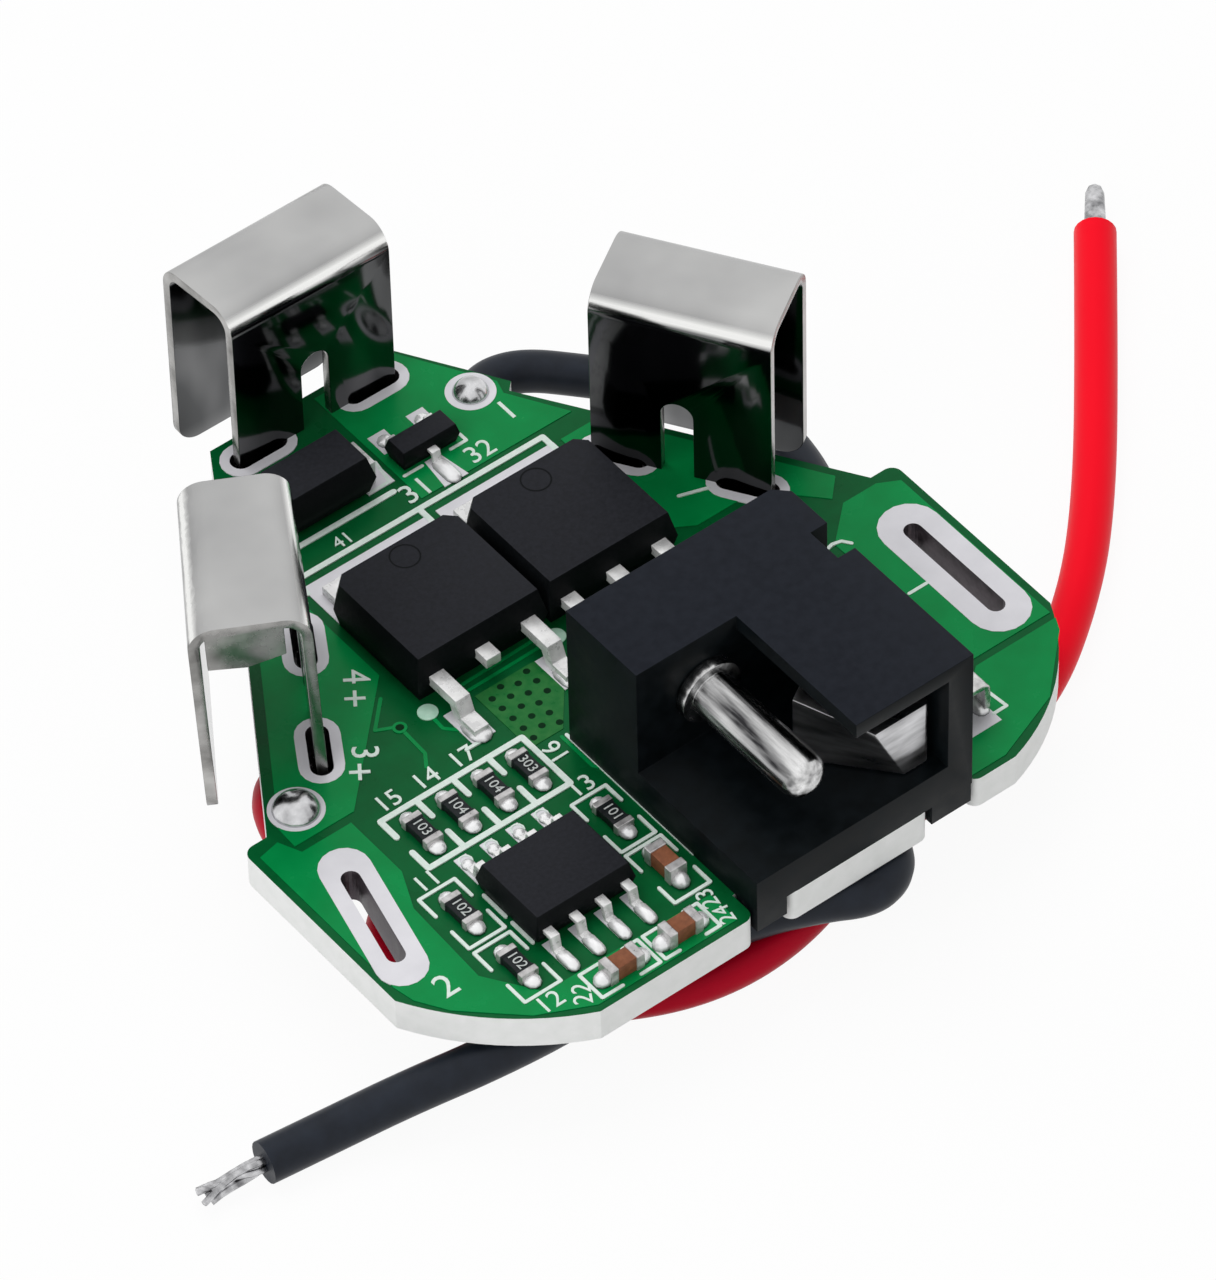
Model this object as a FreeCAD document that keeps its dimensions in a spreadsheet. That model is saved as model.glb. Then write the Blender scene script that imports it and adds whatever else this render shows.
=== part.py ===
import FreeCAD, Part
import math
import os
import Sketcher

os.makedirs("parts", exist_ok=True)
doc = FreeCAD.newDocument("battery_protection_board")
sheet = doc.addObject("Spreadsheet::Sheet", "sizes")
nodes = []

driving_sizes = {
    # Circuit board
    "board_thick": 1.6,
    "board_half_wide": 16.4,
    "board_front": -15.15,
    "board_back": 18.05,
    "back_half_wide": 4.52,
    "neck_y": 13.45,
    "neck_half_wide": 7.3,
    "neck_step": 0.38,
    "shoulder_y": 0.05,
    "shoulder_step": 1.2,
    "shoulder_round": 0.5,
    "corner_y": -9.75,
    "right_corner_x": 10.1,
    "left_corner_x": -10.6,
    "right_corner_radius": 10,
    "left_corner_radius": 13,
    "slot_fit": 0.2,
    "notch_corner_round": 0.45,
    "cut_over": 1.0,
    # Clips
    "sheet_thick": 0.45,
    "sheet_offset": 0.18,
    "clip_wide": 7.9,
    "right_clip_wide": 7.7,
    "clip_bend": 1.1,
    "clip_round": 1.0,
    "clip_hang": 0.1,
    "clip_foot": 2.2,
    "foot_reach": 1.0,
    "notch_half": 0.68,
    "notch_top": 4.0,
    "right_notch_aside": 0.15,
    "top_clip_inset": 1.42,
    "top_clip_x": -0.15,
    "top_clip_tall": 8.5,
    "top_clip_deep": 4.65,
    "top_clip_drop": 0.5,
    "right_clip_inset": 2.77,
    "right_clip_beyond": 4.97,
    "right_clip_turn": 57.5,
    "right_clip_deep": 4.45,
    "right_clip_tall": 9.1,
    "left_clip_inset": 2.85,
    "left_clip_beyond": 4.64,
    "left_clip_turn": 59.2,
    "left_clip_mouth_deep": 4.89,
    "left_clip_back_deep": 4.51,
    "left_clip_tall": 9.0,
    "left_clip_lean": 2,
    "lip_wide": 3.1,
    "lip_deep": 1.9,
    "lip_back_deep": 2.4,
    "lip_front_deep": 2.3,
    # Jack
    "jack_left": -2.9,
    "jack_wide": 10.8,
    "jack_front": -15.15,
    "jack_long": 11.75,
    "jack_tall": 7.5,
    "jack_block_long": 4.4,
    "jack_sill": 1.85,
    "jack_hood": 0.75,
    "jack_wall": 1.25,
    "hood_wide": 5.85,
    "jack_foot_wide": 1.5,
    "jack_right_foot": 2.0,
    "jack_right_inset": 0.05,
    "jack_foot_long": 1.3,
    "jack_foot_reach": 1.0,
    "rear_notch_wide": 0.85,
    "rear_notch_long": 1.7,
    "rear_notch_inset": 2.8,
    "jack_chamfer": 0.6,
    "pin_x": 0.45,
    "pin_above": 4.6,
    "pin_radius": 1.0,
    "pin_long": 6.5,
    "flange_radius": 1.45,
    "flange_thick": 0.5,
    "tang_radius": 0.75,
    "rivet_head": 0.3,
    "terminal_thick": 0.3,
    "pin_terminal_wide": 2.4,
    "side_terminal_wide": 1.4,
    "side_terminal_reach": 3.0,
    "side_terminal_above": 1.4,
    "side_terminal_y": -11.95,
    "side_terminal_root": 0.8,
    "terminal_reach": 0.6,
    "leaf_thick": 0.25,
    "leaf_low": 1.95,
    "leaf_tall": 3.3,
    "leaf_root_y": -9.0,
    "leaf_root_inside": 0.9,
    "leaf_root_slant": 0.45,
    "leaf_bend_out": 0.9,
    "leaf_bend_slant": 0.1,
    "leaf_gap": 2.1,
    "leaf_gap_y": 2.1,
    "leaf_end_x": 3.3,
    "leaf_end_slant": 1.4,
    "leaf_end_back": 0.95,
    "leaf_end_wide": 2.3,
    # Joints where the two wires are soldered
    "wire_radius": 0.9,
    "core_radius": 0.5,
    "joint_radius": 1.0,
    "joint_dome": 0.75,
    "black_joint_x": 5.65,
    "black_joint_y": 14.0,
    "black_joint_turn": 52,
    "red_joint_inset": 2.95,
    "red_joint_y": 0.45,
    "red_joint_turn": 80,
    "wire_hang": 1.0,
    "core_bend": 0.75,
    "core_tail": 0.25,
    "core_rise": 0.4,
    # Battery weld slots
    "right_slot_inset": 1.75,
    "right_slot_y": -5.88,
    "right_slot_long": 6.05,
    "right_slot_turn": 90,
    "left_slot_inset": 1.92,
    "left_slot_y": -5.85,
    "left_slot_long": 5.2,
    "left_slot_turn": 76.5,
    "weld_slot_wide": 0.9,
    # Power transistors in flat packages with a metal tab
    "package_long": 6.5,
    "package_deep": 6.1,
    "package_tall": 2.3,
    "package_waist": 1.0,
    "package_draft": 12,
    "package_corner": 0.6,
    "mosfet_y": 4.8,
    "left_mosfet_x": -3.17,
    "right_mosfet_x": 3.42,
    "tab_wide": 5.2,
    "tab_thick": 0.5,
    "tab_reach": 1.05,
    "tab_step": 1.83,
    "stub_reach": 0.7,
    "power_lead_wide": 0.72,
    "power_lead_pitch": 2.285,
    "power_lead_span": 2.85,
    "power_foot": 1.3,
    "power_lead_inside": 1.0,
    # Control chip with eight leads
    "chip_x": -8.12,
    "chip_y": -9.2,
    "chip_long": 4.9,
    "chip_deep": 3.9,
    "chip_tall": 1.45,
    "chip_waist": 0.65,
    "chip_lift": 0.1,
    "chip_draft": 14,
    "chip_span": 6.0,
    "chip_foot": 0.6,
    "chip_lead_inside": 0.5,
    "chip_lead_wide": 0.42,
    "chip_lead_thick": 0.2,
    "chip_pitch": 1.27,
    # Small transistor with three leads
    "small_x": 2.2,
    "small_y": 12.7,
    "small_long": 2.9,
    "small_deep": 1.3,
    "small_tall": 1.0,
    "small_waist": 0.5,
    "small_span": 2.5,
    "small_foot": 0.35,
    "small_lead_inside": 0.3,
    "small_lift": 0.05,
    "small_lead_wide": 0.42,
    "small_lead_thick": 0.15,
    "small_pitch": 0.95,
    # Diode with a folded lead at each end
    "diode_x": -2.9,
    "diode_y": 13.1,
    "diode_long": 4.3,
    "diode_deep": 2.6,
    "diode_tall": 2.2,
    "diode_waist": 0.9,
    "diode_lift": 0.2,
    "diode_lead_wide": 1.45,
    "diode_lead_thick": 0.2,
    "diode_lead_out": 0.35,
    "diode_lead_under": 1.2,
    "diode_lead_inside": 0.5,
    # Chip resistors and capacitors
    "chip_part_long": 1.6,
    "chip_part_wide": 0.8,
    "resistor_tall": 0.45,
    "capacitor_tall": 0.8,
    "cap_long": 0.35,
    "cap_proud": 0.03,
    "resistor_row_y": -3.68,
    "resistor_1_x": -10.4,
    "resistor_2_x": -8.65,
    "resistor_3_x": -6.88,
    "resistor_4_x": -5.18,
    "resistor_5_x": -11.73,
    "resistor_5_y": -7.9,
    "resistor_6_x": -11.73,
    "resistor_6_y": -11.4,
    "resistor_7_x": -4.15,
    "resistor_7_y": -7.75,
    "capacitor_1_x": -4.15,
    "capacitor_1_y": -11.05,
    "capacitor_2_x": -8.7,
    "capacitor_2_y": -14.05,
    "capacitor_3_x": -5.8,
    "capacitor_3_y": -14.05,
    # Solder under the board round each terminal and clip foot
    "solder_deep": 0.5,
    "solder_spread": 0.45,
    "solder_tip_spread": 0.15,
    # Wires: soft tubes along straight runs and tangent arcs, each with a bare tinned tip
    "low_wire_z": -2.85,
    "black_tip_long": 2.9,
    "black_tip_radius": 0.6,
    "red_tip_long": 2.8,
    "red_tip_wide": 1.4,
    "red_tip_thick": 0.8,
}


class Size:
    """A length in millimetres, or an angle in degrees, with the sheet expression that gives it."""

    def __init__(self, number, text):
        self.number = float(number)
        self.text = text

    def __add__(self, other):
        other = as_size(other)
        return Size(self.number + other.number, "(%s + %s)" % (self.text, other.text))

    def __radd__(self, other):
        return as_size(other) + self

    def __sub__(self, other):
        other = as_size(other)
        return Size(self.number - other.number, "(%s - %s)" % (self.text, other.text))

    def __rsub__(self, other):
        return as_size(other) - self

    def __mul__(self, factor):
        factor = as_size(factor)
        return Size(self.number * factor.number, "(%s * %s)" % (self.text, factor.text))

    def __rmul__(self, factor):
        return self * factor

    def __truediv__(self, divisor):
        divisor = as_size(divisor)
        return Size(self.number / divisor.number, "(%s / %s)" % (self.text, divisor.text))

    def __neg__(self):
        return Size(-self.number, "(-1 * %s)" % self.text)


def as_size(value):
    if isinstance(value, Size):
        return value
    return Size(value, "(%.6g)" % value)


class Sheet:
    """The driving sizes, each kept in a cell of the spreadsheet under its own alias."""

    def __init__(self, driving):
        for row, (name, number) in enumerate(driving.items(), 1):
            sheet.set("A%d" % row, name)
            sheet.set("B%d" % row, "%g" % number)
            sheet.setAlias("B%d" % row, name)
            setattr(self, name, Size(number, "sizes." + name))


size = Sheet(driving_sizes)


def bind(thing, path, value):
    thing.setExpression(path, as_size(value).text)


def place(thing, x=0, y=0, z=0, turn=0):
    """Binds a placement: a point and a turn about the upright axis."""
    x, y, z, turn = as_size(x), as_size(y), as_size(z), as_size(turn)
    upright = FreeCAD.Rotation(FreeCAD.Vector(0, 0, 1), 1)
    thing.Placement = FreeCAD.Placement(FreeCAD.Vector(x.number, y.number, z.number), upright)
    bind(thing, "Placement.Base.x", x)
    bind(thing, "Placement.Base.y", y)
    bind(thing, "Placement.Base.z", z)
    bind(thing, "Placement.Rotation.Angle", turn)


def new_body(name):
    body = doc.addObject("PartDesign::Body", name)
    body.Label = name
    return body


def plane_sketch(body, name, role, lift=0, x=0, y=0, turn=0):
    """A sketch on one of the body's own origin planes, lifted and turned by its attachment."""
    sketch = body.newObject("Sketcher::SketchObject", name)
    plane = [feature for feature in body.Origin.OriginFeatures if feature.Role == role][0]
    sketch.AttachmentSupport = [(plane, "")]
    sketch.MapMode = "FlatFace"
    upright = FreeCAD.Rotation(FreeCAD.Vector(0, 0, 1), 1)
    sketch.AttachmentOffset = FreeCAD.Placement(FreeCAD.Vector(0, 0, 0), upright)
    bind(sketch, "AttachmentOffset.Base.x", x)
    bind(sketch, "AttachmentOffset.Base.y", y)
    bind(sketch, "AttachmentOffset.Base.z", lift)
    bind(sketch, "AttachmentOffset.Rotation.Angle", turn)
    return sketch


def fix_point(sketch, line, end, corner):
    """Ties one end of a sketch line to the sizes of its corner."""
    for kind, value in (("DistanceX", corner[0]), ("DistanceY", corner[1])):
        value = as_size(value)
        rule = sketch.addConstraint(Sketcher.Constraint(kind, -1, 1, line, end, value.number))
        sketch.setExpression("Constraints[%d]" % rule, value.text)


def outline(sketch, corners, bulges=None):
    """Draws a closed outline. A bulge {corner number: radius} makes the run that leaves it an arc.
    The radius None gives a half round, whose centre lies on the straight line between its ends."""
    bulges = bulges or {}
    points = [FreeCAD.Vector(as_size(c[0]).number, as_size(c[1]).number, 0) for c in corners]
    count = len(points)
    lines = []
    for index, start in enumerate(points):
        stop = points[(index + 1) % count]
        if index in bulges:
            half = (stop - start).Length / 2
            rise = half
            if bulges[index] is not None:
                radius = as_size(bulges[index]).number
                rise = radius - math.sqrt(radius ** 2 - half ** 2)
            across = FreeCAD.Vector((stop - start).y, -(stop - start).x, 0).normalize()
            middle = (start + stop) / 2 + across * rise
            run = Part.Arc(start, middle, stop)
        else:
            run = Part.LineSegment(start, stop)
        lines.append(sketch.addGeometry(run))
    for index, corner in enumerate(corners):
        if index in bulges:
            continue
        fix_point(sketch, lines[index], 1, corner)
        fix_point(sketch, lines[index], 2, corners[(index + 1) % count])
    for index in bulges:
        if bulges[index] is None:
            upright = abs(points[index].x - points[(index + 1) % count].x) < 1e-6
            centre = as_size(corners[index][0 if upright else 1])
            kind = "DistanceX" if upright else "DistanceY"
            rule = sketch.addConstraint(Sketcher.Constraint(kind, -1, 1, lines[index], 3, centre.number))
            sketch.setExpression("Constraints[%d]" % rule, centre.text)
        else:
            radius = as_size(bulges[index])
            rule = sketch.addConstraint(Sketcher.Constraint("Radius", lines[index], radius.number))
            sketch.setExpression("Constraints[%d]" % rule, radius.text)
        near = (index - 1) % count
        far = (index + 1) % count
        geometry = sketch.Geometry[lines[index]]
        first = 1 if (geometry.StartPoint - points[index]).Length < 1e-4 else 2
        if near not in bulges:
            sketch.addConstraint(Sketcher.Constraint("Coincident", lines[index], first, lines[near], 2))
        if far not in bulges:
            sketch.addConstraint(Sketcher.Constraint("Coincident", lines[index], 3 - first, lines[far], 1))
    return sketch


def rectangle(sketch, left, right, low, high):
    return outline(sketch, [(left, low), (right, low), (right, high), (left, high)])


def circle(sketch, x, y, radius):
    x, y, radius = as_size(x), as_size(y), as_size(radius)
    centre = FreeCAD.Vector(x.number, y.number, 0)
    ring = sketch.addGeometry(Part.Circle(centre, FreeCAD.Vector(0, 0, 1), radius.number))
    rules = (
        (Sketcher.Constraint("Radius", ring, radius.number), radius),
        (Sketcher.Constraint("DistanceX", -1, 1, ring, 3, x.number), x),
        (Sketcher.Constraint("DistanceY", -1, 1, ring, 3, y.number), y),
    )
    for rule, value in rules:
        number = sketch.addConstraint(rule)
        sketch.setExpression("Constraints[%d]" % number, value.text)
    return sketch


def pad(body, name, sketch, length, reverse=False, middle=False):
    feature = body.newObject("PartDesign::Pad", name)
    feature.Profile = sketch
    bind(feature, "Length", length)
    feature.Reversed = reverse
    if middle:
        feature.SideType = "Symmetric"
    return feature


def pocket(body, name, sketch, length):
    """Cuts both ways from the sketch plane, so that the cut never points away from the piece."""
    doc.recompute()
    before = body.Shape.Volume
    feature = body.newObject("PartDesign::Pocket", name)
    feature.Profile = sketch
    feature.SideType = "Symmetric"
    bind(feature, "Length", length)
    doc.recompute()
    if body.Shape.Volume > before - 1e-4:
        raise RuntimeError("%s cuts nothing" % name)
    return feature


def edges_where(feature, test):
    """Names of the feature's edges whose middle point and direction pass the test."""
    doc.recompute()
    names = []
    for number, edge in enumerate(feature.Shape.Edges):
        ends = [vertex.Point for vertex in edge.Vertexes]
        if len(ends) == 2 and test(edge.CenterOfMass, (ends[1] - ends[0]).normalize()):
            names.append("Edge%d" % (number + 1))
    if not names:
        raise RuntimeError("no edge found on %s" % feature.Name)
    return names


def fillet(body, name, test, radius):
    base = body.Tip
    names = edges_where(base, test)
    feature = body.newObject("PartDesign::Fillet", name)
    feature.Base = (base, names)
    bind(feature, "Radius", radius)
    return feature


def chamfer(body, name, test, depth):
    base = body.Tip
    names = edges_where(base, test)
    feature = body.newObject("PartDesign::Chamfer", name)
    feature.Base = (base, names)
    bind(feature, "Size", depth)
    return feature


def near(value, place_wanted):
    return abs(value - as_size(place_wanted).number) < 1e-3


def node(thing, name):
    """Marks an object as one piece of the finished assembly."""
    thing.Label = name
    nodes.append(thing)
    return thing


def seated(name, blank, metal):
    """The moulded piece with the seats of the metal pieces that run into it."""
    tools = doc.addObject("Part::Compound", name + "_seats")
    tools.Links = metal
    result = doc.addObject("Part::Cut", name)
    result.Base = blank
    result.Tool = tools
    return node(result, name)


# Circuit board

# Clips

shoulder_x = size.board_half_wide - size.shoulder_step
top_clip_y = size.board_back - size.top_clip_inset
right_clip_x = size.right_mosfet_x + size.package_long / 2 + size.right_clip_inset
right_clip_y = size.shoulder_y + size.right_clip_beyond
left_clip_x = size.left_mosfet_x - size.package_long / 2 - size.left_clip_inset
left_clip_y = size.shoulder_y + size.left_clip_beyond
none = as_size(0)


class Clip:
    """One clip: where it stands, and how its strip is bent. The ends are its two open sides."""

    def __init__(self, name, x, y, turn, wide, tall, left_deep, right_deep, drop, lean, notch_x):
        self.name = name
        self.x = x
        self.y = y
        self.turn = turn
        self.wide = wide
        self.tall = tall
        self.ends = ((-wide / 2, left_deep), (wide / 2, right_deep))
        self.drop = drop
        self.lean = lean
        self.notch_x = notch_x
        self.foot_middle = (wide - size.clip_foot) / 2


clips = [
    Clip("top_clip", size.top_clip_x, top_clip_y, none, size.clip_wide, size.top_clip_tall,
         size.top_clip_deep, size.top_clip_deep, size.top_clip_drop, none, none),
    Clip("right_clip", right_clip_x, right_clip_y, -size.right_clip_turn, size.right_clip_wide,
         size.right_clip_tall, size.right_clip_deep, size.right_clip_deep, none, none,
         -size.right_notch_aside),
    Clip("left_clip", left_clip_x, left_clip_y, size.left_clip_turn, size.clip_wide, size.left_clip_tall,
         size.left_clip_mouth_deep, size.left_clip_back_deep, none, size.left_clip_lean, none),
]

# Jack

jack_right = size.jack_left + size.jack_wide
jack_back = size.jack_front + size.jack_long
jack_top = size.board_thick + size.jack_tall
block_front = jack_back - size.jack_block_long
sill_top = size.board_thick + size.jack_sill
pin_z = size.board_thick + size.pin_above
hood_left = jack_right - size.hood_wide
right_foot_x = jack_right - size.jack_right_inset - size.jack_right_foot
window_right = jack_right - size.jack_wall
side_terminal_x = jack_right + size.side_terminal_reach

# Joints where the two wires are soldered

red_joint_x = size.red_joint_inset - size.board_half_wide

# Battery weld slots

right_slot_x = size.board_half_wide - size.right_slot_inset
left_slot_x = size.left_slot_inset - size.board_half_wide
half_fit = size.slot_fit / 2
slot_room = 3 * size.slot_fit
foot_back = size.board_front + size.jack_foot_long + half_fit
left_foot_end = size.jack_left + size.jack_foot_wide + half_fit
right_foot_end = right_foot_x + size.jack_right_foot + half_fit

board = new_body("circuit_board")
board_outline = plane_sketch(board, "board_outline", "XY_Plane")
corners = [
    (size.left_corner_x, size.board_front),
    (size.jack_left - half_fit, size.board_front),
    (size.jack_left - half_fit, foot_back),
    (left_foot_end, foot_back),
    (left_foot_end, size.board_front),
    (right_foot_x - half_fit, size.board_front),
    (right_foot_x - half_fit, foot_back),
    (right_foot_end, foot_back),
    (right_foot_end, size.board_front),
    (size.right_corner_x, size.board_front),
    (size.board_half_wide, size.corner_y),
    (size.board_half_wide, size.shoulder_y - size.shoulder_round),
    (size.board_half_wide - size.shoulder_round, size.shoulder_y),
    (shoulder_x, size.shoulder_y),
    (size.neck_half_wide - size.neck_step, size.neck_y - size.neck_step),
    (size.neck_half_wide, size.neck_y),
    (size.back_half_wide, size.board_back),
    (-size.back_half_wide, size.board_back),
    (-size.neck_half_wide, size.neck_y),
    (size.neck_step - size.neck_half_wide, size.neck_y - size.neck_step),
    (-shoulder_x, size.shoulder_y),
    (size.shoulder_round - size.board_half_wide, size.shoulder_y),
    (-size.board_half_wide, size.shoulder_y - size.shoulder_round),
    (-size.board_half_wide, size.corner_y),
]
board_arcs = {
    9: size.right_corner_radius,
    11: size.shoulder_round,
    21: size.shoulder_round,
    23: size.left_corner_radius,
}
outline(board_outline, corners, board_arcs)
pad(board, "board_sheet", board_outline, size.board_thick)
notch_sides = [size.jack_left - half_fit, left_foot_end, right_foot_x - half_fit, right_foot_end]
fillet(board, "notch_corners",
       lambda middle, way: abs(way.z) > 0.99 and near(middle.y, size.board_front)
       and any(near(middle.x, notch_side) for notch_side in notch_sides), size.notch_corner_round)


def board_slot(name, x, y, turn, long, wide):
    """A round-ended slot through the board, drawn about its own centre."""
    sketch = plane_sketch(board, name + "_sketch", "XY_Plane", 0, x, y, turn)
    half = (long - wide) / 2
    ends = [(-half, -wide / 2), (half, -wide / 2), (half, wide / 2), (-half, wide / 2)]
    outline(sketch, ends, {1: None, 3: None})
    pocket(board, name, sketch, 3 * size.board_thick)


def board_hole(name, x, y, radius):
    sketch = plane_sketch(board, name + "_sketch", "XY_Plane", 0, x, y)
    circle(sketch, 0, 0, radius)
    pocket(board, name, sketch, 3 * size.board_thick)


board_slot("right_weld_slot", right_slot_x, size.right_slot_y, size.right_slot_turn,
           size.right_slot_long, size.weld_slot_wide)
board_slot("left_weld_slot", left_slot_x, size.left_slot_y, size.left_slot_turn,
           size.left_slot_long, size.weld_slot_wide)
for clip in clips:
    cosine = Size(math.cos(math.radians(clip.turn.number)), "cos(%s)" % clip.turn.text)
    sine = Size(math.sin(math.radians(clip.turn.number)), "sin(%s)" % clip.turn.text)
    for side, word in ((-1, "left"), (1, "right")):
        slot_x = clip.x + cosine * clip.foot_middle * side - sine * size.sheet_offset
        slot_y = clip.y + sine * clip.foot_middle * side + cosine * size.sheet_offset
        board_slot("%s_slot_%s" % (clip.name, word), slot_x, slot_y, clip.turn,
                   size.clip_foot + slot_room, size.sheet_thick + slot_room)
board_slot("pin_terminal_slot", size.pin_x, jack_back + size.terminal_thick / 2, 0,
           size.pin_terminal_wide + slot_room, size.terminal_thick + slot_room)
board_slot("side_terminal_slot", side_terminal_x - size.terminal_thick / 2, size.side_terminal_y, 90,
           size.side_terminal_wide + slot_room, size.terminal_thick + slot_room)
board_hole("black_wire_hole", size.black_joint_x, size.black_joint_y, size.core_radius + half_fit)
board_hole("red_wire_hole", red_joint_x, size.red_joint_y, size.core_radius + half_fit)
node(board, "circuit_board")

# Clips: one strip each, bent into a channel that grips a battery tab
sheet_back = size.sheet_offset - size.sheet_thick / 2
foot_low = -size.board_thick - size.foot_reach
for clip in clips:
    body = new_body(clip.name)
    hang_low = -size.board_thick - size.clip_hang - clip.drop
    profiles = []
    for word, (end_x, deep) in zip(("left", "right"), clip.ends):
        profile = plane_sketch(body, "%s_%s_end" % (clip.name, word), "YZ_Plane", end_x, turn=-clip.lean)
        front = sheet_back + deep
        outline(profile, [
            (sheet_back, foot_low),
            (sheet_back + size.sheet_thick, foot_low),
            (sheet_back + size.sheet_thick, clip.tall - size.sheet_thick),
            (front - size.sheet_thick, clip.tall - clip.drop - size.sheet_thick),
            (front - size.sheet_thick, hang_low),
            (front, hang_low),
            (front, clip.tall - clip.drop),
            (sheet_back, clip.tall),
        ])
        profiles.append(profile)
    strip = body.newObject("PartDesign::AdditiveLoft", clip.name + "_strip")
    strip.Profile = profiles[0]
    strip.Sections = [profiles[1]]
    strip.Ruled = True
    between = plane_sketch(body, clip.name + "_between", "XZ_Plane")
    inner = clip.wide / 2 - size.clip_foot
    notch_left = clip.notch_x - size.notch_half
    notch_right = clip.notch_x + size.notch_half
    outline(between, [
        (-inner, 2 * foot_low),
        (inner, 2 * foot_low),
        (inner, 0),
        (notch_right, 0),
        (notch_right, size.notch_top - size.notch_half),
        (notch_left, size.notch_top - size.notch_half),
        (notch_left, 0),
        (-inner, 0),
    ], {4: None})
    pocket(body, clip.name + "_feet", between, 4 * size.sheet_thick)
    lean = math.radians(clip.lean.number)
    up_strip = FreeCAD.Vector(0, math.sin(lean), math.cos(lean))
    bend_heights = (clip.tall.number, (clip.tall - clip.drop).number)
    hang_height = hang_low.number
    half_wide = (clip.wide / 2).number
    fillet(body, clip.name + "_outer_bends",
           lambda middle, way: abs(way.x) > 0.99
           and any(near(middle.dot(up_strip), height) for height in bend_heights), size.clip_bend)
    fillet(body, clip.name + "_inner_bends",
           lambda middle, way: abs(way.x) > 0.99
           and any(near(middle.dot(up_strip), height - size.sheet_thick.number) for height in bend_heights),
           size.clip_bend - size.sheet_thick)
    fillet(body, clip.name + "_corners",
           lambda middle, way: abs(way.y) > 0.99 and near(middle.dot(up_strip), hang_height)
           and near(abs(middle.x), half_wide), size.clip_round)
    if clip.name == "left_clip":
        lip = plane_sketch(body, "lip_profile", "YZ_Plane", -clip.wide / 2, turn=-clip.lean)
        lip_left = sheet_back + size.clip_bend
        outline(lip, [
            (lip_left, clip.tall - size.sheet_thick / 2),
            (lip_left, clip.tall - size.lip_deep),
            (lip_left + size.lip_wide / 2, clip.tall - size.lip_back_deep),
            (lip_left + size.lip_wide, clip.tall - size.lip_front_deep),
            (lip_left + size.lip_wide, clip.tall - size.sheet_thick / 2),
        ])
        pad(body, "lip", lip, size.sheet_thick)
    place(body, clip.x, clip.y, size.board_thick, clip.turn)
    node(body, clip.name)

# Jack housing: a moulded block whose front is open round the pin
housing = new_body("jack_housing_blank")
plan = plane_sketch(housing, "housing_plan", "XY_Plane", size.board_thick)
rectangle(plan, size.jack_left, jack_right, size.jack_front, jack_back)
pad(housing, "housing_block", plan, size.jack_tall)
feet = plane_sketch(housing, "housing_feet_plan", "XY_Plane", size.board_thick)
for foot_x, foot_wide in ((size.jack_left, size.jack_foot_wide), (right_foot_x, size.jack_right_foot)):
    rectangle(feet, foot_x, foot_x + foot_wide, size.jack_front, size.jack_front + size.jack_foot_long)
pad(housing, "housing_feet", feet, size.jack_foot_reach, reverse=True)
open_quarter = plane_sketch(housing, "open_quarter_sketch", "XZ_Plane")
rectangle(open_quarter, size.jack_left - size.cut_over, hood_left, sill_top, jack_top + size.cut_over)
open_room = plane_sketch(housing, "open_room_sketch", "XZ_Plane")
rectangle(open_room, size.jack_left - size.cut_over, window_right, sill_top, jack_top - size.jack_hood)


# Both rooms are cut from the rear block forwards, through the front face
for sketch in (open_quarter, open_room):
    bind(sketch, "AttachmentOffset.Base.z", -block_front)
    feature = housing.newObject("PartDesign::Pocket", sketch.Name.replace("_sketch", ""))
    feature.Profile = sketch
    feature.Reversed = True
    bind(feature, "Length", 2 * size.jack_long)
    doc.recompute()
rear_notch = plane_sketch(housing, "rear_notch_sketch", "XY_Plane", jack_top)
rectangle(rear_notch, jack_right - size.rear_notch_wide, jack_right + size.cut_over,
          jack_back - size.rear_notch_inset - size.rear_notch_long, jack_back - size.rear_notch_inset)
pocket(housing, "rear_notch", rear_notch, 2 * (size.jack_tall - size.jack_sill))
chamfer(housing, "rear_corner",
        lambda middle, way: abs(way.z) > 0.99 and near(middle.x, jack_right) and near(middle.y, jack_back),
        size.jack_chamfer)

# Jack metal: the turned pin, its riveted terminal, the leaf spring and the side terminal
pin = new_body("jack_centre_pin")
half_section = plane_sketch(pin, "pin_half_section", "XY_Plane")
pin_back = jack_back + size.terminal_thick + size.rivet_head
outline(half_section, [
    (0, pin_back),
    (0, block_front - size.pin_long),
    (size.pin_radius / 2, block_front - size.pin_long),
    (size.pin_radius, block_front - size.pin_long + size.pin_radius / 2),
    (size.pin_radius, block_front - size.flange_thick),
    (size.flange_radius, block_front - size.flange_thick),
    (size.flange_radius, block_front),
    (size.tang_radius, block_front),
    (size.tang_radius, pin_back),
], {2: size.pin_radius * 0.55})
turned = pin.newObject("PartDesign::Revolution", "pin_turned")
turned.Profile = half_section
turned.ReferenceAxis = (half_section, ["V_Axis"])
turned.Angle = 360
place(pin, size.pin_x, 0, pin_z)
node(pin, "jack_centre_pin")

pin_terminal = new_body("pin_terminal_blank")
blade = plane_sketch(pin_terminal, "pin_terminal_face", "XZ_Plane", -jack_back)
half = size.pin_terminal_wide / 2
outline(blade, [
    (size.pin_x - half, -size.terminal_reach),
    (size.pin_x + half, -size.terminal_reach),
    (size.pin_x + half, pin_z + half),
    (size.pin_x - half, pin_z + half),
])
pad(pin_terminal, "pin_terminal_blade", blade, size.terminal_thick, reverse=True)
seated("jack_pin_terminal", pin_terminal, [pin])

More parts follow.
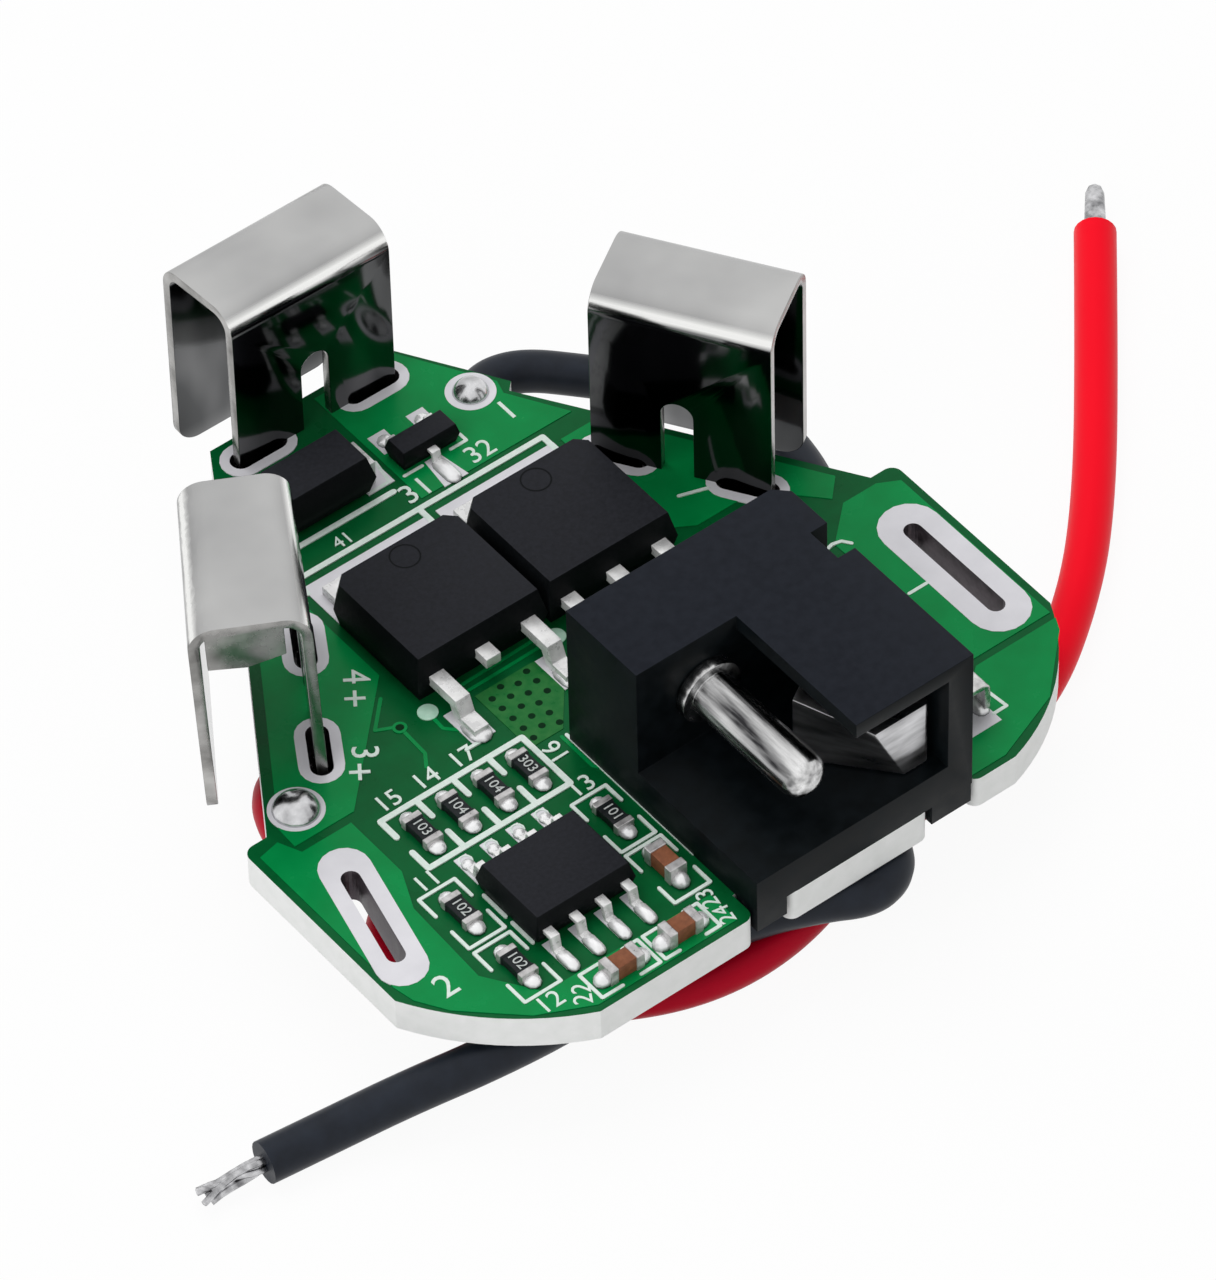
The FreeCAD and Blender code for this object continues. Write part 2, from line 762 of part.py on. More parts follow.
side_terminal = new_body("jack_side_terminal")
bracket = plane_sketch(side_terminal, "side_terminal_profile", "XZ_Plane", -size.side_terminal_y)
shelf = size.board_thick + size.side_terminal_above
outline(bracket, [
    (jack_right - size.side_terminal_root, shelf),
    (side_terminal_x - size.terminal_thick, shelf),
    (side_terminal_x - size.terminal_thick, -size.terminal_reach),
    (side_terminal_x, -size.terminal_reach),
    (side_terminal_x, shelf + size.terminal_thick),
    (jack_right - size.side_terminal_root, shelf + size.terminal_thick),
])
pad(side_terminal, "side_terminal_strip", bracket, size.side_terminal_wide, middle=True)
fillet(side_terminal, "side_terminal_bend",
       lambda middle, way: abs(way.y) > 0.99 and near(middle.x, side_terminal_x)
       and near(middle.z, shelf + size.terminal_thick), 1.5 * size.terminal_thick)
node(side_terminal, "jack_side_terminal")

leaf_end_y = size.jack_front + size.leaf_end_back
leaf_tip_x = size.pin_x + size.leaf_end_x + size.leaf_end_wide
leaf_bottom = size.board_thick + size.leaf_low
leaf_edges = []
for word, bend_x, height in (
    ("low", size.pin_x + size.leaf_end_x + size.leaf_end_slant, leaf_bottom),
    ("high", size.pin_x + size.leaf_end_x, leaf_bottom + size.leaf_tall),
):
    leaf_path = doc.addObject("Sketcher::SketchObject", "leaf_%s_path" % word)
    leaf_points = [
        (window_right + size.leaf_root_inside, size.leaf_root_y + size.leaf_root_slant),
        (window_right - size.leaf_bend_out, size.leaf_root_y - size.leaf_bend_slant),
        (size.pin_x + size.leaf_gap, size.leaf_root_y - size.leaf_gap_y),
        (bend_x, leaf_end_y),
        (leaf_tip_x, leaf_end_y),
    ]
    for start, stop in zip(leaf_points, leaf_points[1:]):
        a = FreeCAD.Vector(as_size(start[0]).number, as_size(start[1]).number, 0)
        b = FreeCAD.Vector(as_size(stop[0]).number, as_size(stop[1]).number, 0)
        line = leaf_path.addGeometry(Part.LineSegment(a, b))
        fix_point(leaf_path, line, 1, start)
        fix_point(leaf_path, line, 2, stop)
    place(leaf_path, 0, 0, height)
    leaf_edge = doc.addObject("Part::Offset2D", "leaf_%s_edge" % word)
    leaf_edge.Source = leaf_path
    leaf_edge.Join = "Intersection"
    leaf_edge.Fill = True
    bind(leaf_edge, "Value", size.leaf_thick)
    leaf_edges.append(leaf_edge)

# The spring is ruled from its low edge to its high edge, so that its last bend slants
leaf = doc.addObject("Part::Loft", "leaf_strip")
leaf.Sections = leaf_edges
leaf.Solid = True
leaf.Ruled = True
node(leaf, "jack_leaf_contact")
seated("jack_housing", housing, [pin, side_terminal, leaf])


# Power transistors in flat packages with a metal tab


def moulded(name, long, deep, tall, waist, draft, lift, corner=None):
    """A moulded package, drafted up and down from its parting line, with two cut corners if asked."""
    body = new_body(name)
    sketch = plane_sketch(body, name + "_plan", "XY_Plane", waist + lift)
    x = long / 2
    y = deep / 2
    if corner is None:
        rectangle(sketch, -x, x, -y, y)
    else:
        cut_back = y - corner
        outline(sketch, [(-x, -y), (x, -y), (x, cut_back), (x - corner, y), (corner - x, y), (-x, cut_back)])
    feature = body.newObject("PartDesign::Pad", name + "_moulding")
    feature.Profile = sketch
    feature.SideType = "Two sides"
    bind(feature, "Length", tall - waist)
    bind(feature, "Length2", waist)
    bind(feature, "TaperAngle", -draft)
    bind(feature, "TaperAngle2", -draft)
    return body


def strip_lead(name, root_y, height, span, foot, thick, wide, inside):
    """A lead that leaves the package at a height, bends down and ends in a flat foot."""
    body = new_body(name)
    sketch = plane_sketch(body, name + "_profile", "YZ_Plane")
    drop_low = span - foot
    drop_high = drop_low - thick * 0.6
    outline(sketch, [
        (root_y - inside, height),
        (drop_high, height),
        (drop_low, 0),
        (span, 0),
        (span, thick),
        (drop_low + thick * 0.8, thick),
        (drop_high + thick * 0.8, height + thick),
        (root_y - inside, height + thick),
    ])
    pad(body, name + "_strip", sketch, wide, middle=True)
    return body


for name, x in (("left_mosfet", size.left_mosfet_x), ("right_mosfet", size.right_mosfet_x)):
    half_deep = size.package_deep / 2
    tab = new_body(name + "_tab")
    section = plane_sketch(tab, name + "_tab_profile", "YZ_Plane")
    stub_low = size.package_waist - size.tab_thick / 2
    outline(section, [
        (-half_deep - size.stub_reach, stub_low),
        (-size.tab_step, stub_low),
        (-size.tab_step, 0),
        (half_deep + size.tab_reach, 0),
        (half_deep + size.tab_reach, size.tab_thick),
        (-size.tab_step + size.tab_thick, size.tab_thick),
        (-size.tab_step + size.tab_thick, stub_low + size.tab_thick),
        (-half_deep - size.stub_reach, stub_low + size.tab_thick),
    ])
    pad(tab, name + "_tab_plate", section, size.tab_wide, middle=True)
    sides = plane_sketch(tab, name + "_stub_sides", "XY_Plane", 0)
    for side in (-1, 1):
        outline(sides, [
            (side * size.power_lead_wide / 2, -2 * half_deep),
            (side * size.tab_wide, -2 * half_deep),
            (side * size.tab_wide, -size.tab_step + size.tab_thick),
            (side * size.power_lead_wide / 2, -size.tab_step + size.tab_thick),
        ])
    pocket(tab, name + "_stub_cut", sides, 4 * size.package_waist)
    place(tab, x, size.mosfet_y, size.board_thick)
    node(tab, name + "_tab")
    metal = [tab]
    for side, lead_name in ((-1, "gate_lead"), (1, "source_lead")):
        lead = strip_lead("%s_%s" % (name, lead_name), half_deep, stub_low, half_deep + size.power_lead_span,
                          size.power_foot, size.tab_thick, size.power_lead_wide, size.power_lead_inside)
        place(lead, x + side * size.power_lead_pitch, size.mosfet_y, size.board_thick, 180)
        node(lead, "%s_%s" % (name, lead_name))
        metal.append(lead)
    blank = moulded(name + "_blank", size.package_long, size.package_deep, size.package_tall,
                    size.package_waist, size.package_draft, 0, size.package_corner)
    place(blank, x, size.mosfet_y, size.board_thick)
    seated(name + "_body", blank, metal)

# Control chip with eight leads
leads_a_side = 4
middle_column = (leads_a_side - 1) / 2
metal = []
for number in range(2 * leads_a_side):
    column = number % leads_a_side
    turn = 180 if number < leads_a_side else 0
    name = "control_chip_lead_%d" % (number + 1)
    lead = strip_lead(name, size.chip_deep / 2, size.chip_waist, size.chip_span / 2, size.chip_foot,
                      size.chip_lead_thick, size.chip_lead_wide, size.chip_lead_inside)
    place(lead, size.chip_x + (column - middle_column) * size.chip_pitch, size.chip_y, size.board_thick, turn)
    metal.append(node(lead, name))
chip = moulded("control_chip_blank", size.chip_long, size.chip_deep, size.chip_tall,
               size.chip_waist, size.chip_draft, size.chip_lift)
place(chip, size.chip_x, size.chip_y, size.board_thick)
seated("control_chip_body", chip, metal)

# Small transistor with three leads
metal = []
for number, (column, turn) in enumerate(((-1, 0), (1, 0), (0, 180))):
    name = "transistor_lead_%d" % (number + 1)
    lead = strip_lead(name, size.small_deep / 2, size.small_waist, size.small_span / 2, size.small_foot,
                      size.small_lead_thick, size.small_lead_wide, size.small_lead_inside)
    place(lead, size.small_x + column * size.small_pitch, size.small_y, size.board_thick, turn)
    metal.append(node(lead, name))
small = moulded("transistor_blank", size.small_long, size.small_deep, size.small_tall,
                size.small_waist, size.chip_draft, size.small_lift)
place(small, size.small_x, size.small_y, size.board_thick)
seated("transistor_body", small, metal)

# Diode with a folded lead at each end
metal = []
for number, turn in ((1, 0), (2, 180)):
    name = "diode_lead_%d" % number
    lead = new_body(name)
    section = plane_sketch(lead, name + "_profile", "XZ_Plane")
    reach = size.diode_long / 2 + size.diode_lead_out
    high = size.diode_waist + size.diode_lift
    outline(section, [
        (size.diode_long / 2 - size.diode_lead_inside, high),
        (reach - size.diode_lead_thick, high),
        (reach - size.diode_lead_thick, size.diode_lead_thick),
        (reach - size.diode_lead_under, size.diode_lead_thick),
        (reach - size.diode_lead_under, 0),
        (reach, 0),
        (reach, high + size.diode_lead_thick),
        (size.diode_long / 2 - size.diode_lead_inside, high + size.diode_lead_thick),
    ])
    pad(lead, name + "_strip", section, size.diode_lead_wide, middle=True)
    place(lead, size.diode_x, size.diode_y, size.board_thick, turn)
    metal.append(node(lead, name))
diode = moulded("diode_blank", size.diode_long, size.diode_deep, size.diode_tall - size.diode_lift,
                size.diode_waist, size.chip_draft,
                size.diode_lift)
place(diode, size.diode_x, size.diode_y, size.board_thick)
seated("diode_body", diode, metal)

# Chip resistors and capacitors
spots = [
    ("resistor_1", size.resistor_1_x, size.resistor_row_y, 90, size.resistor_tall),
    ("resistor_2", size.resistor_2_x, size.resistor_row_y, 90, size.resistor_tall),
    ("resistor_3", size.resistor_3_x, size.resistor_row_y, 90, size.resistor_tall),
    ("resistor_4", size.resistor_4_x, size.resistor_row_y, 90, size.resistor_tall),
    ("resistor_5", size.resistor_5_x, size.resistor_5_y, 90, size.resistor_tall),
    ("resistor_6", size.resistor_6_x, size.resistor_6_y, 90, size.resistor_tall),
    ("resistor_7", size.resistor_7_x, size.resistor_7_y, 90, size.resistor_tall),
    ("capacitor_1", size.capacitor_1_x, size.capacitor_1_y, 90, size.capacitor_tall),
    ("capacitor_2", size.capacitor_2_x, size.capacitor_2_y, 0, size.capacitor_tall),
    ("capacitor_3", size.capacitor_3_x, size.capacitor_3_y, 0, size.capacitor_tall),
]
for name, x, y, turn, tall in spots:
    part = new_body(name)
    middle = plane_sketch(part, name + "_middle_plan", "XY_Plane", size.cap_proud)
    rectangle(middle, -size.chip_part_long / 2 + size.cap_proud, size.chip_part_long / 2 - size.cap_proud,
              -size.chip_part_wide / 2 + size.cap_proud, size.chip_part_wide / 2 - size.cap_proud)
    pad(part, name + "_middle", middle, tall - 2 * size.cap_proud)
    caps = plane_sketch(part, name + "_caps_plan", "XY_Plane")
    for side in (-1, 1):
        rectangle(caps, side * size.chip_part_long / 2, side * (size.chip_part_long / 2 - size.cap_long),
                  -size.chip_part_wide / 2, size.chip_part_wide / 2)
    pad(part, name + "_caps", caps, tall)
    place(part, x, y, size.board_thick, turn)
    node(part, name)

# Solder joints of the two wires: a dome on the board and the tinned core that bends below it
dome_squares = size.joint_radius * size.joint_radius + size.joint_dome * size.joint_dome
dome_radius = dome_squares / (2 * size.joint_dome)
for name, x, y, turn in (
    ("black_wire_joint", size.black_joint_x, size.black_joint_y, size.black_joint_turn),
    ("red_wire_joint", red_joint_x, size.red_joint_y, size.red_joint_turn),
):
    joint = new_body(name)
    section = plane_sketch(joint, name + "_half_section", "XZ_Plane")
    bore = size.core_radius + size.slot_fit / 2
    outline(section, [
        (0, 0),
        (bore, 0),
        (bore, size.board_thick),
        (size.joint_radius, size.board_thick),
        (0, size.board_thick + size.joint_dome),
    ], {3: dome_radius})
    dome = joint.newObject("PartDesign::Revolution", name + "_dome")
    dome.Profile = section
    dome.ReferenceAxis = (section, ["V_Axis"])
    dome.Angle = 360
    core = plane_sketch(joint, name + "_core", "XY_Plane", size.core_rise)
    circle(core, 0, 0, size.core_radius)
    spine = plane_sketch(joint, name + "_spine", "XZ_Plane")
    bend = size.core_bend.number
    low = size.wire_hang.number
    top = FreeCAD.Vector(0, size.core_rise.number, 0)
    start = FreeCAD.Vector(0, bend - low, 0)
    turn_point = FreeCAD.Vector(bend * (1 - math.sqrt(0.5)), bend - low - bend * math.sqrt(0.5), 0)
    stop = FreeCAD.Vector(bend, -low, 0)
    spine.addGeometry(Part.LineSegment(top, start))
    spine.addGeometry(Part.Arc(start, turn_point, stop))
    spine.addGeometry(Part.LineSegment(stop, FreeCAD.Vector(bend + size.core_tail.number, -low, 0)))
    pipe = joint.newObject("PartDesign::AdditivePipe", name + "_tail")
    pipe.Profile = core
    pipe.Spine = (spine, ["Edge1", "Edge2", "Edge3"])
    place(joint, x, y, 0, turn)
    node(joint, name)

# Solder under the board round each terminal and clip foot


def foot_solder(name, x, y, turn, long, wide, metal, shift_x=0, shift_y=0):
    """A fillet of solder on the underside, with the foot passing through it."""
    body = new_body(name + "_blank")
    wide_end = plane_sketch(body, name + "_wide_end", "XY_Plane", 0)
    narrow_end = plane_sketch(body, name + "_narrow_end", "XY_Plane", -size.solder_deep)
    for sketch, spread in ((wide_end, size.solder_spread), (narrow_end, size.solder_tip_spread)):
        a = long / 2 + spread
        b = wide / 2 + spread
        rectangle(sketch, shift_x - a, shift_x + a, shift_y - b, shift_y + b)
    loft = body.newObject("PartDesign::AdditiveLoft", name + "_fillet")
    loft.Profile = wide_end
    loft.Sections = [narrow_end]
    place(body, x, y, 0, turn)
    seated(name, body, metal)


by_name = {thing.Label: thing for thing in nodes}
for clip in clips:
    for side, word in ((-1, "left"), (1, "right")):
        foot_solder("%s_solder_%s" % (clip.name, word), clip.x, clip.y, clip.turn, size.clip_foot,
                    size.sheet_thick, [by_name[clip.name]], side * clip.foot_middle, size.sheet_offset)
foot_solder("pin_terminal_solder", size.pin_x, jack_back + size.terminal_thick / 2, 0, size.pin_terminal_wide,
            size.terminal_thick, [by_name["jack_pin_terminal"]])
foot_solder("side_terminal_solder", side_terminal_x - size.terminal_thick / 2, size.side_terminal_y, 0,
            size.terminal_thick, size.side_terminal_wide, [side_terminal])

# Wires: soft tubes along straight runs and tangent arcs, each with a bare tinned tip
bend_share = 0.45
under_board = -size.wire_hang.number
on_floor = size.low_wire_z.number
black_points = [
    (6.2657, 14.788, under_board), (7.0353, 15.773, under_board), (8.25, 16.13, under_board),
    (9.65, 15.6, under_board), (11.2, 14.05, -1.1), (13.2, 12.0, -1.3), (15.5, 8.9, -1.5),
    (15.6, 4.4, -1.5), (12.6, -1.6, -1.3), (9.2, -6.6, under_board), (6.3, -10.0, under_board),
    (4.9, -12.4, under_board), (4.72, -14.15, under_board), (3.8, -15.14, under_board),
    (2.55, -15.33, under_board), (0.9, -14.35, under_board), (-1.7, -13.3, under_board),
    (-5.6, -12.6, under_board), (-10.2, -12.9, under_board), (-13.9, -12.5, -1.1),
    (-17.2, -11.25, -2.0), (-20.1, -10.3, on_floor), (-23.1, -9.95, on_floor),
]
red_points = [
    (-13.2764, 1.4348, under_board), (-12.9465, 3.306, under_board), (-10.2, 5.0, -1.9), (-7.4, 2.6, -2.5),
    (-9.4, -1.9, on_floor), (-13.2, -3.9, on_floor), (-13.0, -8.2, on_floor), (-9.0, -11.2, on_floor),
    (-4.4, -13.7, on_floor), (0.6, -13.7, on_floor), (5.4, -11.6, on_floor), (10.4, -12.0, on_floor),
    (15.4, -10.4, on_floor), (20.5, -6.9, on_floor), (24.4, -3.1, on_floor), (29.35, 2.65, on_floor),
    (34.0, 8.25, on_floor),
]


def wire_route(name, points):
    """Joins the points by straight runs, with a tangent arc at each turn."""
    points = [FreeCAD.Vector(*point) for point in points]
    edges = []
    radii = []
    here = points[0]
    for before, corner, after in zip(points, points[1:], points[2:]):
        back = before - corner
        ahead = after - corner
        cut = bend_share * min(back.Length, ahead.Length)
        half_turn = (math.pi - back.getAngle(ahead)) / 2
        radius = cut / math.tan(half_turn)
        back.normalize()
        ahead.normalize()
        inward = (back + ahead).normalize()
        entry = corner + back * cut
        leave = corner + ahead * cut
        middle = corner + inward * (radius / math.cos(half_turn) - radius)
        edges.append(Part.LineSegment(here, entry).toShape())
        edges.append(Part.Arc(entry, middle, leave).toShape())
        radii.append(radius)
        here = leave
    edges.append(Part.LineSegment(here, points[-1]).toShape())
    path = doc.addObject("Part::Feature", name + "_route")
    path.Shape = Part.Wire(edges)
    print(name, "length %.2f" % path.Shape.Length, "bend radii", " ".join("%.1f" % r for r in radii))
    return path


def facing(point, way):
    """A placement at a point with its upright axis along a direction."""
    return FreeCAD.Placement(point, FreeCAD.Rotation(FreeCAD.Vector(0, 0, 1), way))


for name, points in (("black_wire", black_points), ("red_wire", red_points)):
    route = wire_route(name, points)
    ring = doc.addObject("Part::Circle", name + "_section")
    bind(ring, "Radius", size.wire_radius)
    first = FreeCAD.Vector(*points[0])
    ring.Placement = facing(first, FreeCAD.Vector(*points[1]) - first)
    tube = doc.addObject("Part::Sweep", name)
    tube.Sections = [ring]
    tube.Spine = (route, ["Edge%d" % (number + 1) for number in range(len(route.Shape.Edges))])
    tube.Solid = True
    tube.Frenet = False
    node(tube, name)
    doc.recompute()
    expected = math.pi * size.wire_radius.number ** 2 * route.Shape.Length
    print(name, "volume %.2f expected %.2f" % (tube.Shape.Volume, expected))

black_end = FreeCAD.Vector(*black_points[-1])
black_tip = doc.addObject("Part::Cylinder", "black_wire_tip")
bind(black_tip, "Radius", size.black_tip_radius)
bind(black_tip, "Height", size.black_tip_long)
black_tip.Placement = facing(black_end, black_end - FreeCAD.Vector(*black_points[-2]))
node(black_tip, "black_wire_tip")
red_end = FreeCAD.Vector(*red_points[-1])
red_tip = new_body("red_wire_tip")
flat_end = plane_sketch(red_tip, "red_tip_section", "YZ_Plane")
half = size.red_tip_thick / 2
outline(flat_end, [
    (-size.red_tip_wide / 2 + half, -half),
    (size.red_tip_wide / 2 - half, -half),
    (size.red_tip_wide / 2 - half, half),
    (-size.red_tip_wide / 2 + half, half),
], {1: None, 3: None})
pad(red_tip, "red_tip_strip", flat_end, size.red_tip_long)
red_way = red_end - FreeCAD.Vector(*red_points[-2])
place(red_tip, red_end.x, red_end.y, size.low_wire_z, math.degrees(math.atan2(red_way.y, red_way.x)))
node(red_tip, "red_wire_tip")

doc.recompute()
for thing in doc.Objects:
    if "Invalid" in thing.State or "Error" in thing.State:
        raise RuntimeError("%s %s is %s" % (thing.Name, thing.Label, thing.State))
for thing in nodes:
    shape = thing.Shape
    if shape.isNull() or not shape.isValid() or len(shape.Solids) != 1:
        raise RuntimeError("%s: null %s, solids %d" % (thing.Label, shape.isNull(), len(shape.Solids)))
    shape.exportStep("parts/%s.step" % thing.Label)
    box = shape.BoundBox
    print("%-28s %7.2f %7.2f %6.2f  to %7.2f %7.2f %6.2f  %8.3f" % (
        thing.Label, box.XMin, box.YMin, box.ZMin, box.XMax, box.YMax, box.ZMax, shape.Volume))
print(len(nodes), "pieces")
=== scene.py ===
import math

import bmesh
import bpy
import numpy as np
from mathutils import Matrix, Vector


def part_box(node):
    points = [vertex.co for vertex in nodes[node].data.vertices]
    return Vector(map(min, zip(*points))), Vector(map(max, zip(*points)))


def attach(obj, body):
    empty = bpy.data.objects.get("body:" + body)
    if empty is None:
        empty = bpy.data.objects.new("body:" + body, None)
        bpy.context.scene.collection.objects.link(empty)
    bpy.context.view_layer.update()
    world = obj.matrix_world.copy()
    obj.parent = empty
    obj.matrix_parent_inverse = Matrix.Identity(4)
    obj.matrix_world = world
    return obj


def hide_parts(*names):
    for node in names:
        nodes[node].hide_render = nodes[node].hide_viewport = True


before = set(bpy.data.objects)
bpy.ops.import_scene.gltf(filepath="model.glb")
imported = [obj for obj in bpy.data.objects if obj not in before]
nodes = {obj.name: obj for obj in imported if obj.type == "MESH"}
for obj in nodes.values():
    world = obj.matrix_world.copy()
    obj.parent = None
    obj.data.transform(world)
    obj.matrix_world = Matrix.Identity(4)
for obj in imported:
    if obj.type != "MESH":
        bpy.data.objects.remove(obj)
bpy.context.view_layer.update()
mm = 0.001

# Circuit board
# One sheet of glass-fibre laminate, green solder mask on both faces and a bare, off-white sawn edge.
# The copper below the mask shows as lighter green fields, a hair higher than the bare laminate, and
# the slots are plated through, with a tinned ring on both faces.

board_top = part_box("circuit_board")[1].z


def tone(red, green, blue):
    """Turns a colour written 0 to 255, as a screen shows it, into the linear values that nodes take."""
    shown = np.array([red, green, blue]) / 255
    linear = np.where(shown <= 0.04045, shown / 12.92, ((shown + 0.055) / 1.055) ** 2.4)
    return (*linear, 1.0)


def new_material(name):
    """A new material with its node tree and its shader."""
    made = bpy.data.materials.new(name)
    made.use_nodes = True
    tree = made.node_tree
    shader = tree.nodes["Principled BSDF"]
    return made, tree, shader


def mottle(tree, scale, detail=3.0, stretch=(1, 1, 1)):
    """A cloud of noise on Object coordinates, as many grains to the metre as the scale says."""
    place = tree.nodes.new("ShaderNodeTexCoord")
    turn = tree.nodes.new("ShaderNodeMapping")
    turn.inputs["Scale"].default_value = stretch
    cloud = tree.nodes.new("ShaderNodeTexNoise")
    cloud.inputs["Scale"].default_value = scale
    cloud.inputs["Detail"].default_value = detail
    tree.links.new(place.outputs["Object"], turn.inputs["Vector"])
    tree.links.new(turn.outputs["Vector"], cloud.inputs["Vector"])
    return cloud.outputs["Fac"]


def ramp(tree, source, stops):
    """A colour or grey that follows a value, through stops of (place, colour)."""
    band = tree.nodes.new("ShaderNodeValToRGB")
    points = band.color_ramp.elements
    while len(points) < len(stops):
        points.new(0.5)
    for point, (where, colour) in zip(points, stops):
        point.position = where
        point.color = colour
    tree.links.new(source, band.inputs["Fac"])
    return band.outputs["Color"]


def grey(value):
    """A value as an even grey: red, green and blue alike, and opaque."""
    return (value, value, value, 1.0)


def bump(tree, shader, source, height):
    """Raises the surface by a value times a height in metres."""
    relief = tree.nodes.new("ShaderNodeBump")
    relief.inputs["Distance"].default_value = height
    tree.links.new(source, relief.inputs["Height"])
    tree.links.new(relief.outputs["Normal"], shader.inputs["Normal"])


def finish(name, dark, light, grains, shine, metal=0.0, relief=0.0, stretch=(1, 1, 1), gloss=0.5):
    """A surface whose colour and roughness follow one cloud of noise: from dark to light, and from the
    first shine to the second, with so many grains to the metre."""
    made, tree, shader = new_material(name)
    cloud = mottle(tree, grains, 4.0, stretch)
    tree.links.new(ramp(tree, cloud, [(0.3, dark), (0.7, light)]), shader.inputs["Base Color"])
    tree.links.new(ramp(tree, cloud, [(0.25, grey(shine[0])), (0.75, grey(shine[1]))]),
                   shader.inputs["Roughness"])
    shader.inputs["Metallic"].default_value = metal
    shader.inputs["Specular IOR Level"].default_value = gloss
    if relief:
        bump(tree, shader, cloud, relief)
    return made


def place_piece(name, mesh, material, replaced=()):
    """Shows a mesh as a piece of the board, with its finish, on the one body that there is."""
    piece = bpy.data.objects.new(name, mesh)
    bpy.context.scene.collection.objects.link(piece)
    if material and not mesh.materials:
        mesh.materials.append(material)
    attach(piece, "root")
    if replaced:
        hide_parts(*replaced)
    return piece


def mesh_of(name, points, faces):
    """A mesh from points in metres and faces as rows of point numbers, with its faces turned outwards."""
    mesh = bpy.data.meshes.new(name)
    mesh.from_pydata(np.asarray(points, float).tolist(), [], [list(face) for face in faces])
    shape = bmesh.new()
    shape.from_mesh(mesh)
    bmesh.ops.recalc_face_normals(shape, faces=shape.faces)
    shape.to_mesh(mesh)
    shape.free()
    return mesh


def of_faces(mesh, what):
    """The normals or the centres of all faces, as the rows of one array."""
    rows = np.empty(3 * len(mesh.polygons))
    mesh.polygons.foreach_get(what, rows)
    return rows.reshape(-1, 3)


def finish_faces(mesh, second):
    """Gives the faces that a row of true and false picks the second material, and the others the first."""
    mesh.polygons.foreach_set("material_index", np.asarray(second).astype(np.int32))


mask_green = finish("mask_green", tone(1, 84, 40), tone(3, 94, 47), 900, (0.25, 0.35), gloss=0.12)
mask_over_copper = finish("mask_over_copper", tone(1, 130, 64), tone(4, 141, 72), 600, (0.2, 0.3),
                          gloss=0.12)
mask_over_mesh = finish("mask_over_mesh", tone(20, 104, 46), tone(48, 116, 58), 2500, (0.25, 0.4),
                        gloss=0.12)
sawn_edge = finish("sawn_edge", tone(242, 244, 242), tone(250, 251, 250), 1500, (0.5, 0.7), relief=0.000005,
                   gloss=0.2)
tin_plate = finish("tin_plate", tone(219, 218, 223), tone(229, 228, 233), 700, (0.3, 0.45), relief=0.000002,
                   gloss=0.3)
drilled_dark = finish("drilled_dark", tone(4, 34, 16), tone(10, 48, 24), 4000, (0.5, 0.7), gloss=0.1)
board_mesh = nodes["circuit_board"].data
board_mesh.materials.clear()
board_mesh.materials.append(mask_green)
board_mesh.materials.append(sawn_edge)
finish_faces(board_mesh, np.abs(of_faces(board_mesh, "normal")[:, 2]) <= 0.5)

# Marks on the board are measured from a point near its middle, and all of its sizes are in millimetres
mark_zero = np.array([1.55, -0.2])
top = board_top / mm
copper_raise = 0.035
mesh_raise = 0.03
track_raise = 0.025
hole_raise = 0.004
plating = 0.05

# How much higher each plate of a piece stands than the one before it, so that no two tops share a plane
least_climb = 0.0001
track_climb = 0.0003


def stadium(x, y, turn, long, wide, steps=10):
    """A round-ended outline about a point: half a circle of the width at each end of its length."""
    ends = []
    for side, first in ((1, -90), (-1, 90)):
        angles = np.radians(first + np.linspace(0, 180, steps))
        middle = side * (long - wide) / 2
        ends.append(np.stack([middle + wide / 2 * np.cos(angles), wide / 2 * np.sin(angles)], 1))
    flat = np.concatenate(ends)
    turned = math.radians(turn)
    spun = np.array([[math.cos(turned), math.sin(turned)], [-math.sin(turned), math.cos(turned)]])
    return flat @ spun + [x, y]


def ring_faces(rings, count, start=0, closed=False):
    """Faces between rings of points: each point, its neighbour, and the same two on the next ring."""
    ring = np.arange(rings if closed else rings - 1)[:, None]
    corner = np.arange(count)[None, :]
    after = (corner + 1) % count
    here = start + ring * count
    there = start + (ring + 1) % rings * count
    return np.stack([here + corner, here + after, there + after, there + corner], 2).reshape(-1, 4).tolist()


def raised(outline, height):
    """A flat outline in millimetres lifted to one height, in metres."""
    return np.column_stack([outline, np.full(len(outline), height)]) * mm


def plate_mesh(name, outlines, low, high, climb=0.0):
    """Closed plates: an outline low, the same one high, and walls; each stands a climb above the last."""
    points = []
    faces = []
    start = 0
    for number, outline in enumerate(outlines):
        count = len(outline)
        points += [raised(outline, low), raised(outline, high + number * climb)]
        faces.append(list(range(start, start + count)))
        faces.append(list(range(start + count, start + 2 * count)))
        faces += ring_faces(2, count, start)
        start += 2 * count
    return mesh_of(name, np.concatenate(points), faces)


def plates(name, outlines, low, high, material, climb=0.0):
    """Closed plates over outlines, shown as one piece of the board."""
    return place_piece(name, plate_mesh(name, outlines, low, high, climb), material)


def marked(points):
    """Points given from the marks' zero, moved by it, so that they count from the board's own."""
    return np.array(points, float) + mark_zero


